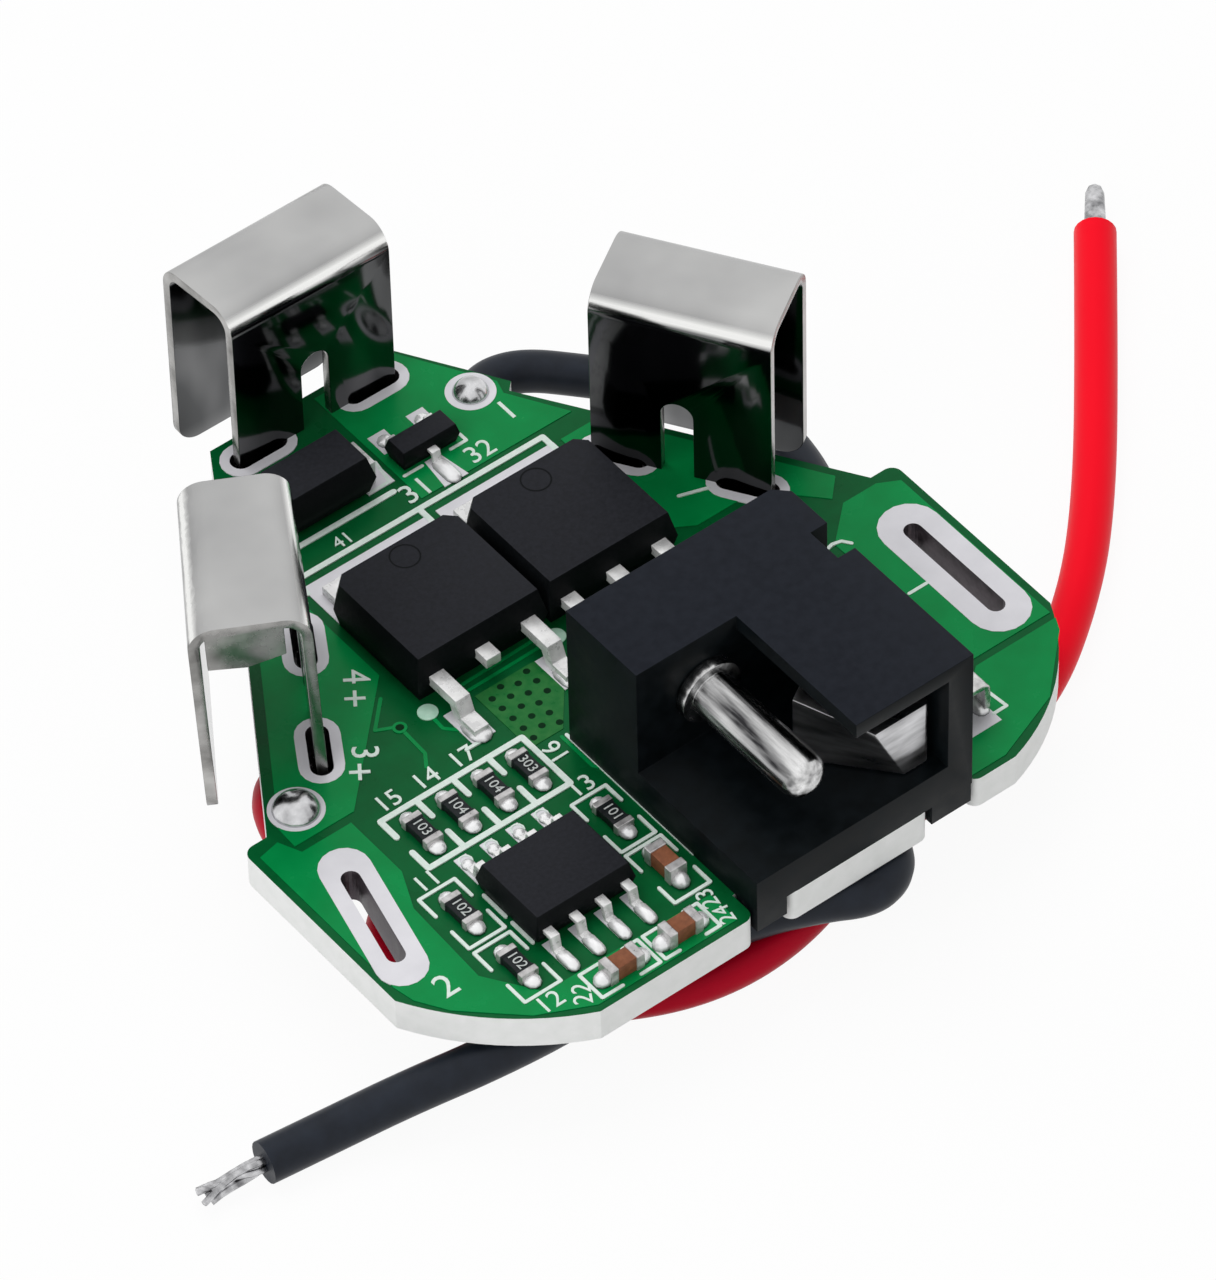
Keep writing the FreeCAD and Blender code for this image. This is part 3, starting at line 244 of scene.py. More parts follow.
# Each clip's place and turn, and how far its feet stand to either side of its middle; then a slot's place,
# turn, length and width, and its ring's length and width
clip_spots = [(-0.15, 16.63, 0, 2.85), (9.44, 5.02, -57.5, 2.75), (-9.27, 4.69, 59.2, 2.85)]
foot_slot = (2.8, 1.05, 3.5, 1.85)
foot_inset = 0.18
foot_slots = []
for clip_x, clip_y, clip_turn, foot_along in clip_spots:
    across = math.radians(clip_turn)
    for side in (-1, 1):
        foot_slots.append((clip_x + side * foot_along * math.cos(across) - foot_inset * math.sin(across),
                           clip_y + side * foot_along * math.sin(across) + foot_inset * math.cos(across),
                           clip_turn, *foot_slot))
weld_slots = [(14.65, -5.88, 90, 6.05, 0.9, 8.2, 2.7), (-14.48, -5.85, 76.5, 5.2, 0.9, 7.6, 2.15)]


def cut_open(piece, holes, low, high):
    """Cuts upright holes through a piece, and keeps the cut mesh."""
    cutter = bpy.data.objects.new("cutter", plate_mesh("cutter", holes, low, high))
    bpy.context.scene.collection.objects.link(cutter)
    cut = piece.modifiers.new("holes", "BOOLEAN")
    cut.object = cutter
    cut.operation = "DIFFERENCE"
    cut.solver = "EXACT"
    ready = piece.evaluated_get(bpy.context.evaluated_depsgraph_get())
    mesh = bpy.data.meshes.new_from_object(ready)
    piece.modifiers.clear()
    piece.data = mesh
    bpy.data.objects.remove(cutter)


copper_fields = [
    [(-16.2, -0.85), (-16.15, 0.3), (-8.75, 12.0), (-8.2, 12.0), (-8.2, 4.2), (-13.3, -0.85)],
    [(-17.6, -0.45), (-16.6, -0.25), (-16.15, -1.25), (-13.75, -1.25), (-13.75, -4.5), (-14.55, -6.3),
     (-14.7, -10.6), (-13.2, -12.85), (-5.2, -13.0), (-5.2, -14.65), (-12.0, -14.65), (-14.3, -13.5),
     (-16.6, -11.3), (-17.4, -10.0), (-17.6, -9.0)],
    [(10.2, -1.7), (11.9, -0.15), (13.6, -0.15), (14.5, -0.65), (14.5, -9.95), (10.4, -9.95)],
    [(6.5, -13.3), (10.4, -10.3), (14.5, -10.3), (14.2, -10.9), (11.6, -13.4), (8.3, -14.65),
     (6.5, -14.65)],
    [(-1.05, 10.75), (6.6, 10.75), (5.1, 13.3), (5.3, 14.0), (3.0, 17.9), (-1.05, 17.9)],
    [(5.3, 3.4), (5.3, 9.8), (7.2, 9.8), (12.6, 1.2), (11.7, 0.3), (9.6, 2.6), (6.6, 2.6)],
]
fields = plates("copper_fields", [marked(field) for field in copper_fields], top, top + copper_raise,
                mask_over_copper)
cut_open(fields, [stadium(*slot_row[:5]) for slot_row in foot_slots + weld_slots], top - 1, top + 1)
plates("via_field", [marked([(-5.95, 0.95), (-2.9, 0.95), (-2.5, -0.4), (-4.3, -2.6), (-5.95, -2.6)])],
       top, top + mesh_raise, mask_over_mesh)
via_rows = (0.55, -0.1, -0.78, -1.45, -2.1)
via_spots = [marked([x, y + 0.3 * (column % 2) - 0.15])
             for column, x in enumerate((-5.5, -4.85, -4.2, -3.55)) for y in via_rows
             if y > -1.3 or x < -4.0]
plates("via_holes", [stadium(x, y, 0, 0.31, 0.3, 7) for x, y in via_spots], top,
       top + mesh_raise + hole_raise, drilled_dark, least_climb)


def strokes(lines, wide):
    """Round-ended outlines along broken lines, one for each run: as long as the run and one width more."""
    runs = []
    for line in lines:
        for (x, y), (u, v) in zip(line, line[1:]):
            long = math.hypot(u - x, v - y) + wide
            turn = math.degrees(math.atan2(v - y, u - x))
            middle = marked([(x + u) / 2, (y + v) / 2])
            runs.append(stadium(middle[0], middle[1], turn, long, wide, 5))
    return runs


tracks = [
    [(-9.25, 1.2), (-9.3, -0.2), (-9.7, -0.8)],
    [(-7.9, 1.4), (-7.95, 0.4), (-7.1, -0.5), (-6.6, -0.6)],
    [(-9.4, 1.65), (-10.1, 2.0), (-8.9, 3.2)],
    [(-6.2, 1.75), (-2.2, 1.85)],
    [(-6.2, 1.35), (-2.4, 1.4)],
    [(-4.6, -2.9), (-4.6, -4.9), (-4.2, -5.3)],
]
track_wide = 0.16
plates("copper_tracks", strokes(tracks, track_wide), top, top + track_raise, mask_over_copper,
       track_climb)


def eyelet(x, y, turn, slot_long, slot_wide, pad_long, pad_wide):
    """A plated slot: eight loops, joined in turn and the last to the first, run over the top ring, down the
    sleeve through the board, over the lower ring and back up within the board."""
    outer = stadium(x, y, turn, pad_long, pad_wide)
    sleeve = stadium(x, y, turn, slot_long - 2 * plating, slot_wide - 2 * plating)
    sunk = stadium(x, y, turn, slot_long + plating, slot_wide + plating)
    loops = [(outer, top), (outer, top + plating), (sleeve, top + plating), (sleeve, -plating),
             (outer, -plating), (outer, 0), (sunk, 0), (sunk, top)]
    return np.concatenate([raised(loop, z) for loop, z in loops]), len(loops), len(outer)


# The sleeves inside the slots are coloured darker than the tinned rings: painted shade in the slots
sleeve_painted_shade = finish("sleeve_painted_shade", tone(58, 50, 56), tone(116, 108, 114), 1600, (0.3, 0.5), metal=0.4,
                     gloss=0.1)
points = []
faces = []
inside = []
sleeve_loop = 2
for number, slot_row in enumerate(foot_slots + weld_slots):
    band, loops, count = eyelet(*slot_row)
    points.append(band)
    faces += ring_faces(loops, count, number * len(band), closed=True)
    inside.append(np.repeat(np.arange(loops) == sleeve_loop, count))
mesh = mesh_of("plated_slots", np.concatenate(points), faces)
mesh.materials.append(tin_plate)
mesh.materials.append(sleeve_painted_shade)
finish_faces(mesh, np.concatenate(inside))
place_piece("plated_slots", mesh, tin_plate)
joint_rings = [stadium(5.65, 14.0, 0, 2.12, 2.1, 20), stadium(-13.45, 0.45, 0, 2.32, 2.3, 20)]
test_spots = [stadium(*marked([spot_x, 1.45]), 0, 0.86, 0.84, 12) for spot_x in (-7.9, -1.5)]
plates("joint_rings", joint_rings, top, top + plating, tin_plate)
pale_mint = finish("pale_mint", tone(176, 220, 196), tone(196, 232, 212), 3000, (0.3, 0.4), gloss=0.3)
plates("test_spots", test_spots, top, top + plating, pale_mint)
via_middle = marked([-9.25, 1.5])
via_raise = 0.04
lone_hole_raise = 0.003
plates("lone_via", [stadium(*via_middle, 0, 0.62, 0.6)], top, top + via_raise, mask_over_copper)
plates("lone_via_hole", [stadium(*via_middle, 0, 0.36, 0.34)], top, top + via_raise + lone_hole_raise,
       drilled_dark)
pads = [
    [(-7.75, 5.5), (-1.6, 5.5), (-1.6, 9.85), (-7.75, 9.85)],
    [(-1.05, 5.5), (4.95, 5.5), (4.95, 9.85), (-1.05, 9.85)],
    [(7.4, -11.15), (9.35, -11.15), (9.35, -13.15), (7.4, -13.15)],
    [(0.25, 12.25), (1.0, 12.25), (1.25, 10.65), (0.05, 10.65)],
    [(-0.75, 13.6), (0.1, 13.6), (0.1, 14.75), (-0.75, 14.75)],
    [(1.2, 13.6), (2.05, 13.6), (2.05, 14.75), (1.2, 14.75)],
    [(-2.6, 12.2), (-1.3, 12.2), (-1.3, 14.2), (-2.6, 14.2)],
    [(-7.5, 12.2), (-6.3, 12.2), (-6.3, 14.2), (-7.5, 14.2)],
]


def pad(x, half, front, back):
    """A rectangle about a line: half its width to each side, from its front to its back."""
    return [(x - half, front), (x + half, front), (x + half, back), (x - half, back)]


pads += [pad(pad_x, 0.55, -1.05, 0.9) for pad_x in (-7.0, -2.43, -0.41, 4.15)]
for pad_x in (-11.57, -10.3, -9.03, -7.76):
    pads += [pad(pad_x, 0.28, -12.5, -10.9), pad(pad_x, 0.3, -6.9, -5.35)]
plates("pads", [marked(corners) for corners in pads], top, top + plating, tin_plate)

# Printing
# White ink, screened onto the mask once it has cured: outlines round the parts, and plain numbers and
# signs beside them.

ink_white = finish("ink_white", tone(214, 232, 222), tone(232, 240, 235), 5000, (0.5, 0.65), gloss=0.2)
ink_raise = 0.06
ring_raise = 0.07
stroke_climb = 0.0005
thick_lines = [
    [(-7.75, 9.5), (-7.75, 10.35), (4.8, 10.35), (4.8, 9.5)], [(-1.5, 10.35), (-1.5, 9.5)],
    [(-6.5, 11.75), (-1.7, 11.75)],
    [(-12.85, -1.95), (-5.85, -1.95), (-5.85, -5.05), (-12.85, -5.05)],
    [(-12.85, -1.95), (-12.85, -3.0)], [(-12.85, -4.0), (-12.85, -5.05)],
    [(-11.1, -1.95), (-11.1, -3.0)], [(-11.1, -4.0), (-11.1, -5.05)],
    [(-9.3, -1.95), (-9.3, -3.0)], [(-9.3, -4.0), (-9.3, -5.05)],
    [(-7.55, -1.95), (-7.55, -3.0)], [(-7.55, -4.0), (-7.55, -5.05)],
]
plates("thick_lines", strokes(thick_lines, 0.26), top, top + ink_raise, ink_white, stroke_climb)
thin_lines = [
    [(-4.4, -2.95), (-4.4, -10.95)], [(10.8, -5.65), (11.7, -5.65)],
    [(9.85, -11.4), (9.97, -12.7), (9.3, -12.7)],
    [(-1.3, 13.5), (-1.5, 12.3), (-2.5, 12.3)],
    [(-0.85, 12.15), (0.05, 12.15)], [(1.5, 12.15), (2.3, 12.15), (2.3, 12.6)],
    [(-14.15, -7.2), (-14.15, -6.1), (-12.4, -6.1), (-12.4, -7.2)],
    [(-14.15, -8.2), (-14.15, -9.3), (-12.4, -9.3), (-12.4, -8.2)],
    [(-14.15, -10.7), (-14.15, -9.6), (-12.4, -9.6), (-12.4, -10.7)],
    [(-14.15, -11.7), (-14.15, -12.8), (-12.4, -12.8), (-12.4, -11.7)],
    [(-6.55, -7.0), (-6.55, -6.0), (-4.85, -6.0), (-4.85, -7.0)],
    [(-6.55, -8.1), (-6.55, -9.15), (-4.85, -9.15), (-4.85, -8.1)],
    [(-6.55, -10.4), (-6.55, -9.4), (-4.8, -9.4), (-4.8, -10.4)],
    [(-6.55, -11.5), (-6.55, -12.5), (-4.8, -12.5), (-4.8, -11.5)],
    [(-10.7, -13.05), (-11.7, -13.05), (-11.7, -14.5), (-10.7, -14.5)],
    [(-9.8, -14.5), (-8.85, -14.5), (-8.85, -13.05), (-9.6, -13.05)],
    [(-7.9, -14.5), (-8.6, -14.5), (-8.6, -13.05), (-7.9, -13.05)],
    [(-6.6, -14.5), (-5.9, -14.5), (-5.9, -13.05), (-6.6, -13.05)],
    [(-12.05, -7.5), (-12.05, -8.9)], [(-12.05, -9.3), (-12.05, -10.6)],
    [(-7.95, -1.1), (-6.9, -1.1)],
    [(9.7, -1.75), (10.1, -1.65), (10.5, -1.75), (10.75, -2.1)],
    [(7.0, 4.3), (8.2, 3.9)], [(-8.3, 10.4), (-8.1, 9.1)],
]
plates("thin_lines", strokes(thin_lines, 0.15), top, top + ink_raise, ink_white, stroke_climb)


def circle(x, y, radius, count):
    """Points at even turns round a middle, the first of them met again at the end."""
    turn = np.linspace(0, 2 * math.pi, count)
    return np.stack([x + radius * np.cos(turn), y + radius * np.sin(turn)], 1)


pin_rings = [circle(ring_x, -5.65, 0.27, 11) for ring_x in (-11.5, -10.25, -8.95, -7.75)]
plates("pin_rings", strokes(pin_rings, 0.07), top, top + ring_raise, ink_white, stroke_climb)


# How tall a figure of the plain letters is for a size of 1
figure_tall = 0.73


def printed(name, labels, low, high, material):
    """Plain numbers and signs as thin closed letters: each is filled flat, then given its thickness."""
    joined = bmesh.new()
    for words, x, y, tall, turn in labels:
        curve = bpy.data.curves.new("words", "FONT")
        curve.body = words
        curve.align_x = "CENTER"
        curve.align_y = "CENTER"
        curve.resolution_u = 3
        curve.extrude = 0.5
        thing = bpy.data.objects.new("words", curve)
        flat = bpy.data.meshes.new_from_object(thing)
        grow = tall * mm / figure_tall
        flat.transform(Matrix.Translation((x * mm, y * mm, (low + high) / 2 * mm))
                       @ Matrix.Rotation(math.radians(turn), 4, "Z")
                       @ Matrix.Diagonal((grow, grow, (high - low) * mm, 1)))
        joined.from_mesh(flat)
        bpy.data.objects.remove(thing)
        bpy.data.curves.remove(curve)
        bpy.data.meshes.remove(flat)
    bmesh.ops.remove_doubles(joined, verts=joined.verts, dist=0.0005 * mm)
    mesh = bpy.data.meshes.new(name)
    joined.to_mesh(mesh)
    joined.free()
    mesh.materials.clear()
    place_piece(name, mesh, material)


# What each label says, its place from the marks' zero, its height and its turn
part_numbers = [
    ("15", -11.95, -1.3, 0.85, 0), ("14", -10.1, -1.3, 0.85, 0), ("17", -8.3, -1.3, 0.85, 0),
    ("16", -5.25, -3.4, 0.85, 90), ("11", -13.3, -5.55, 0.85, 0), ("13", -5.6, -5.45, 0.85, 0),
    ("12", -13.4, -13.4, 0.85, 0), ("22", -12.15, -13.85, 0.8, 60), ("23", -5.4, -13.1, 0.75, 80),
    ("24", -5.4, -14.15, 0.7, 80), ("2", -16.0, -10.25, 1.2, 0), ("1", 4.6, 12.4, 1.15, 0),
    ("32", 2.35, 11.3, 0.95, 0), ("31", -0.95, 11.2, 1.05, 0), ("41", -4.9, 10.9, 0.65, 0),
    ("4", -9.0, 4.75, 1.15, -125), ("+", -9.75, 3.75, 1.3, -35), ("3", -11.15, 1.35, 1.15, -125),
    ("+", -11.95, 0.55, 1.3, -35), ("0", -2.4, 17.4, 0.9, 0),
    ("−", 9.8, 4.2, 1.2, -60), ("9", 10.2, 4.9, 0.9, 150),
]
printed("part_numbers", [(words, x + mark_zero[0], y + mark_zero[1], tall, turn)
                         for words, x, y, tall, turn in part_numbers], top, top + ink_raise, ink_white)

# Clips
# Three strips of sheet steel, bent over into a channel and plated with bright nickel; the feet go
# through slots in the board and are soldered below. The flat tops are brushed a little and coloured
# lighter as painted light, the bends carry a bright band that is a painted highlight, and the walls are
# as smooth as a mirror and coloured dark as a painted reflection of dark surroundings.


def nickel(name, wall, crown, bend, wall_shine, crown_shine):
    """Plated sheet: from 0 on a wall to 1 on a flat top, the attribute crown turns the wall's dark tones,
    a painted reflection of dark surroundings, into the top's lighter tones, which are painted light, with a
    painted highlight in the bend's tone about halfway, and the gloss follows it too."""
    made, tree, shader = new_material(name)
    lying = tree.nodes.new("ShaderNodeAttribute")
    lying.attribute_name = "crown"
    cloud = mottle(tree, 170, 3.0, (1, 1, 0.35))
    # The dark wall tones are a painted reflection of dark surroundings, and the lighter top tones are
    # painted light
    wall_painted_shade = ramp(tree, cloud, [(0.35, tone(*wall[0])), (0.52, tone(*wall[1])), (0.66, tone(*wall[2]))])
    top_painted_light = ramp(tree, cloud, [(0.3, tone(*crown[0])), (0.7, tone(*crown[1]))])
    mix = tree.nodes.new("ShaderNodeMix")
    mix.data_type = "RGBA"
    tree.links.new(lying.outputs["Fac"], mix.inputs[0])
    tree.links.new(wall_painted_shade, mix.inputs[6])
    tree.links.new(top_painted_light, mix.inputs[7])
    # A painted highlight along the bends, in the bend's near-white tone
    painted_highlight = tree.nodes.new("ShaderNodeMix")
    painted_highlight.data_type = "RGBA"
    painted_highlight.inputs[7].default_value = tone(*bend)
    halfway = [(0.3, grey(0)), (0.45, grey(1)), (0.6, grey(1)), (0.8, grey(0))]
    tree.links.new(ramp(tree, lying.outputs["Fac"], halfway), painted_highlight.inputs[0])
    tree.links.new(mix.outputs[2], painted_highlight.inputs[6])
    tree.links.new(painted_highlight.outputs[2], shader.inputs["Base Color"])
    tree.links.new(ramp(tree, lying.outputs["Fac"], [(0.2, grey(wall_shine)), (0.8, grey(crown_shine))]),
                   shader.inputs["Roughness"])
    shader.inputs["Metallic"].default_value = 1.0
    return made


# The dark walls, lighter tops and bright bend band of this nickel are painted shade, painted light and a
# painted highlight
bright_nickel = nickel("bright_nickel", ((40, 41, 42), (74, 75, 76), (126, 126, 127)),
                       ((170, 170, 170), (196, 196, 195)), (240, 240, 238), 0.1, 0.28)
sheared_edge = finish("sheared_edge", tone(122, 121, 119), tone(186, 185, 183), 700, (0.2, 0.35), metal=1.0)


# How far an edge is broken: on leads and other small metal, on sheet, on turned and moulded pieces
fine_edge = 0.03
sheet_edge = 0.04
turned_edge = 0.05
housing_edge = 0.07
sharp_turn = math.radians(30)


def softened(node, material, edge, change=None):
    """The CAD piece with its corners broken: a copy is merged, its flat faces are joined, and the edges
    that turn by more than 30 degrees are bevelled. The piece stands for its node."""
    shape = bmesh.new()
    shape.from_mesh(nodes[node].data)
    bmesh.ops.remove_doubles(shape, verts=shape.verts, dist=0.001 * mm)
    bmesh.ops.dissolve_limit(shape, angle_limit=math.radians(1), verts=shape.verts, edges=shape.edges)
    mesh = bpy.data.meshes.new(node + "_finished")
    shape.to_mesh(mesh)
    shape.free()
    mesh.materials.clear()
    if change:
        change(mesh)
    piece = place_piece(node + "_finished", mesh, material, (node,))
    mesh.shade_smooth()
    bevel = piece.modifiers.new("edge", "BEVEL")
    bevel.width = edge * mm
    bevel.segments = 2
    bevel.limit_method = "ANGLE"
    bevel.angle_limit = sharp_turn
    bevel.use_clamp_overlap = True
    bevel.harden_normals = True


def crowned(mesh, heights):
    """Keeps one value for each point of a mesh, as its attribute crown."""
    crown = mesh.attributes.new("crown", "FLOAT", "POINT")
    crown.data.foreach_set("value", np.asarray(heights, np.float32))


def plated(turn):
    """Dresses a clip that is turned so: a point's crown is the mean of how far the faces about it look up,
    and the faces that look along the clip are its sheared ends, with their own finish."""
    along = np.array([math.cos(math.radians(turn)), math.sin(math.radians(turn)), 0])

    def dress(mesh):
        normals = of_faces(mesh, "normal")
        sheared = np.abs(normals @ along) > 0.9
        corners = np.empty(len(mesh.loops), np.int32)
        mesh.loops.foreach_get("vertex_index", corners)
        sides = np.empty(len(mesh.polygons), np.int32)
        mesh.polygons.foreach_get("loop_total", sides)
        face_of = np.repeat(np.arange(len(sides)), sides)
        counted = ~sheared[face_of]
        looks_up = np.maximum(normals[face_of[counted], 2], 0)
        flat = np.bincount(corners[counted], looks_up, len(mesh.vertices))
        met = np.bincount(corners[counted], minlength=len(mesh.vertices))
        crowned(mesh, flat / np.maximum(met, 1))
        mesh.materials.append(bright_nickel)
        mesh.materials.append(sheared_edge)
        finish_faces(mesh, sheared)

    return dress


for clip, clip_spot in zip(("top_clip", "right_clip", "left_clip"), clip_spots):
    softened(clip, bright_nickel, sheet_edge, change=plated(clip_spot[2]))

# Jack
# A moulded black block, open at its front quarter, with a turned pin, a leaf spring and two terminals
# that are soldered below the board. Its upright faces are polished by the mould and coloured darker
# than the top, which is painted shade, and the top is duller and holds a little dust.

jack_black = finish("jack_black", tone(23, 26, 33), tone(31, 34, 41), 2600, (0.42, 0.6), relief=0.000003,
                    gloss=0.08)
# The upright and lower faces of the jack take this darker copy of the black: painted shade
jack_side_shade = finish("jack_side_shade", tone(6, 10, 12), tone(14, 19, 22), 1400, (0.35, 0.5), relief=0.000004,
                   gloss=0.08)
# The pin's dark and bright streaks along its length are painted reflections
pin_painted_reflections = finish("pin_painted_reflections", tone(52, 52, 54), tone(238, 238, 238), 800, (0.14, 0.3), metal=1.0,
                      stretch=(2.4, 0.3, 2.4), relief=0.00001)
tinned = finish("tinned", tone(168, 168, 168), tone(224, 224, 222), 2200, (0.2, 0.34), metal=1.0,
                relief=0.000006)
spring_metal = finish("spring_metal", tone(150, 150, 152), tone(212, 212, 214), 1200, (0.25, 0.4),
                      metal=1.0, stretch=(0.4, 0.4, 2.0), relief=0.000006)


def points_of(mesh):
    """A mesh's points, as the rows of one array."""
    rows = np.empty(3 * len(mesh.vertices))
    mesh.vertices.foreach_get("co", rows)
    return rows.reshape(-1, 3)


# How far below a moulding's highest point its top finish reaches
top_band = 1.5


def two_sided(lying, upright):
    """Dresses a moulding: the faces that look up within the top band take the first finish, and the upright
    and lower faces take the second, a darker copy of it that paints shade on them."""
    def dress(mesh):
        mesh.materials.append(lying)
        mesh.materials.append(upright)
        highest = points_of(mesh)[:, 2].max()
        looks_up = of_faces(mesh, "normal")[:, 2] > 0.5
        near_top = of_faces(mesh, "center")[:, 2] > highest - top_band * mm
        finish_faces(mesh, ~(looks_up & near_top))

    return dress


softened("jack_housing", jack_black, housing_edge, change=two_sided(jack_black, jack_side_shade))
softened("jack_centre_pin", pin_painted_reflections, turned_edge)
softened("jack_leaf_contact", spring_metal, fine_edge)
for metal_piece in ("jack_side_terminal", "jack_pin_terminal"):
    softened(metal_piece, tinned, fine_edge)

# Packages
# Black epoxy moulded round tinned leads, with a fine matte grain and sides coloured darker as painted
# shade; each power package has the round mark of the mould's ejector pin on its top, and no printing.

package_black = finish("package_black", tone(30, 31, 35), tone(38, 39, 44), 6000, (0.5, 0.65),
                       relief=0.000005, gloss=0.1)
# A darker copy of the black: painted shade on the sides, and also the colour of the ejector marks
package_side_shade_and_mark = finish("package_side_shade_and_mark", tone(9, 11, 13), tone(16, 18, 20), 6000, (0.45, 0.6),
                      relief=0.000005, gloss=0.08)
for package in ("left_mosfet_body", "right_mosfet_body", "control_chip_body", "transistor_body",
                "diode_body"):
    softened(package, package_black, turned_edge,
             change=two_sided(package_black, package_side_shade_and_mark))
lead_names = ["%s_mosfet_%s" % (side, part) for side in ("left", "right")
              for part in ("tab", "gate_lead", "source_lead")]
lead_names += ["control_chip_lead_%d" % number for number in range(1, 9)]
lead_names += ["transistor_lead_%d" % number for number in (1, 2, 3)]
lead_names += ["diode_lead_%d" % number for number in (1, 2)]
lead_tin = finish("lead_tin", tone(214, 214, 214), tone(246, 246, 245), 2000, (0.22, 0.38), metal=0.3,
                  relief=0.000006)
for lead in lead_names:
    softened(lead, lead_tin, fine_edge)
package_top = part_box("left_mosfet_body")[1].z / mm
mark_spots = np.array([(-3.17, 6.75), (3.42, 6.75)]) - mark_zero
marks = [circle(mark_x, mark_y, 0.62, 25) for mark_x, mark_y in mark_spots]
mark_depth = 0.02
mark_raise = 0.004
plates("ejector_marks", strokes(marks, 0.07), package_top - mark_depth, package_top + mark_raise,
       package_side_shade_and_mark, least_climb)

# Chip resistors and capacitors
# Small ceramic blocks with tin wrapped round both ends, soldered flat to their pads. The resistors are
# glazed black and carry plain three-figure value codes, and the capacitors are bare tan ceramic.

resistor_black = finish("resistor_black", tone(20, 24, 26), tone(30, 34, 36), 5000, (0.35, 0.5), gloss=0.2)
ceramic_tan = finish("ceramic_tan", tone(118, 72, 50), tone(142, 90, 64), 4000, (0.4, 0.55), gloss=0.2)
tin_end = finish("tin_end", tone(168, 166, 166), tone(216, 214, 214), 3000, (0.25, 0.4), metal=0.6,
                 relief=0.000005)


def block(low, high):
    """A box between two corners: its low outline and its high one, and six sides."""
    along_x = np.array([0, 1, 1, 0, 0, 1, 1, 0])
    along_y = np.array([0, 0, 1, 1, 0, 0, 1, 1])
    along_z = np.array([0, 0, 0, 0, 1, 1, 1, 1])
    picked = np.stack([along_x, along_y, along_z], 1)
    return np.where(picked, high, low), [[0, 1, 2, 3], [4, 5, 6, 7]] + ring_faces(2, 4)


def reach_of(node):
    """A CAD piece's lowest and highest corner, in millimetres."""
    return (np.array(corner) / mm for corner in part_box(node))


chips = ["resistor_%d" % number for number in range(1, 8)]
chips += ["capacitor_%d" % number for number in (1, 2, 3)]
resistor_codes = ("103", "104", "104", "303", "102", "102", "101")
resistor_wrap = 0.26
capacitor_wrap = 0.36
skin = 0.025
code_tall = 0.46
code_depth = 0.01
code_raise = 0.012
cap_points = []
cap_faces = []
chip_ends = []
codes = []
for number, chip in enumerate(chips):
    resistor = chip.startswith("resistor")
    if resistor:
        softened(chip, resistor_black, fine_edge)
    else:
        softened(chip, ceramic_tan, fine_edge)
    low, high = reach_of(chip)
    middle = (low + high) / 2
    axis = 1 if high[1] - low[1] > high[0] - low[0] else 0
    wrap = resistor_wrap if resistor else capacitor_wrap
    for side in (-1, 1):
        first = low - skin
        last = high + skin
        first[2] = low[2]
        if side < 0:
            last[axis] = low[axis] + wrap
        else:
            first[axis] = high[axis] - wrap
        corners, sides = block(first * mm, last * mm)
        cap_faces += (np.array(sides) + len(cap_points) * len(corners)).tolist()
        cap_points.append(corners)
        end = middle.copy()
        end[axis] = low[axis] if side < 0 else high[axis]
        chip_ends.append((end[0], end[1], axis, high[2] - low[2], side))
    if resistor:
        codes.append((resistor_codes[number], middle[0], middle[1], code_tall, -90))
resistor_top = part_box("resistor_1")[1].z / mm
tin_mesh = mesh_of("tin_ends", np.concatenate(cap_points), cap_faces)
caps = place_piece("tin_ends", tin_mesh, tin_end)
bevel = caps.modifiers.new("edge", "BEVEL")
bevel.width = sheet_edge * mm
bevel.segments = 2
code_grey = finish("code_grey", tone(176, 182, 180), tone(204, 208, 206), 5000, (0.5, 0.65), gloss=0.2)
printed("value_codes", codes, resistor_top - code_depth, resistor_top + code_raise, code_grey)

# Solder
# Bright, slightly grained tin alloy, melted where each lead, tin end and foot meets its pad, and left
# in domes where the wires come through the board.

solder = finish("solder", tone(160, 160, 162), tone(222, 222, 224), 1500, (0.15, 0.3), metal=1.0,
                relief=0.00002)


def solder_shade_and_highlight(name, foot, shoulder, crest, grains):
    """Solder that is dark at its foot, which is painted shade, and bright on its crest, which is a painted
    highlight: its tone follows the attribute crown, a place's height from 0 to 1, and half of a cloud of
    noise."""
    made, tree, shader = new_material(name)
    height = tree.nodes.new("ShaderNodeAttribute")
    height.attribute_name = "crown"
    cloud = mottle(tree, grains)
    both = tree.nodes.new("ShaderNodeMath")
    both.operation = "MULTIPLY_ADD"
    both.inputs[1].default_value = 0.5
    tree.links.new(cloud, both.inputs[0])
    tree.links.new(height.outputs["Fac"], both.inputs[2])
    bands = [(0.22, tone(*foot)), (0.42, tone(*shoulder)), (0.75, tone(*crest))]
    tree.links.new(ramp(tree, both.outputs[0], bands), shader.inputs["Base Color"])
    shader.inputs["Metallic"].default_value = 0.45
    shader.inputs["Roughness"].default_value = 0.26
    bump(tree, shader, cloud, 0.00001)
    return made


# Fillets with painted shade at their feet and a painted highlight on their crests
pad_solder = solder_shade_and_highlight("pad_solder", (70, 72, 74), (176, 176, 178), (244, 244, 245), 1800)

# How far above the bare board a fillet starts, which is within the pad's thickness
fillet_foot = 0.04


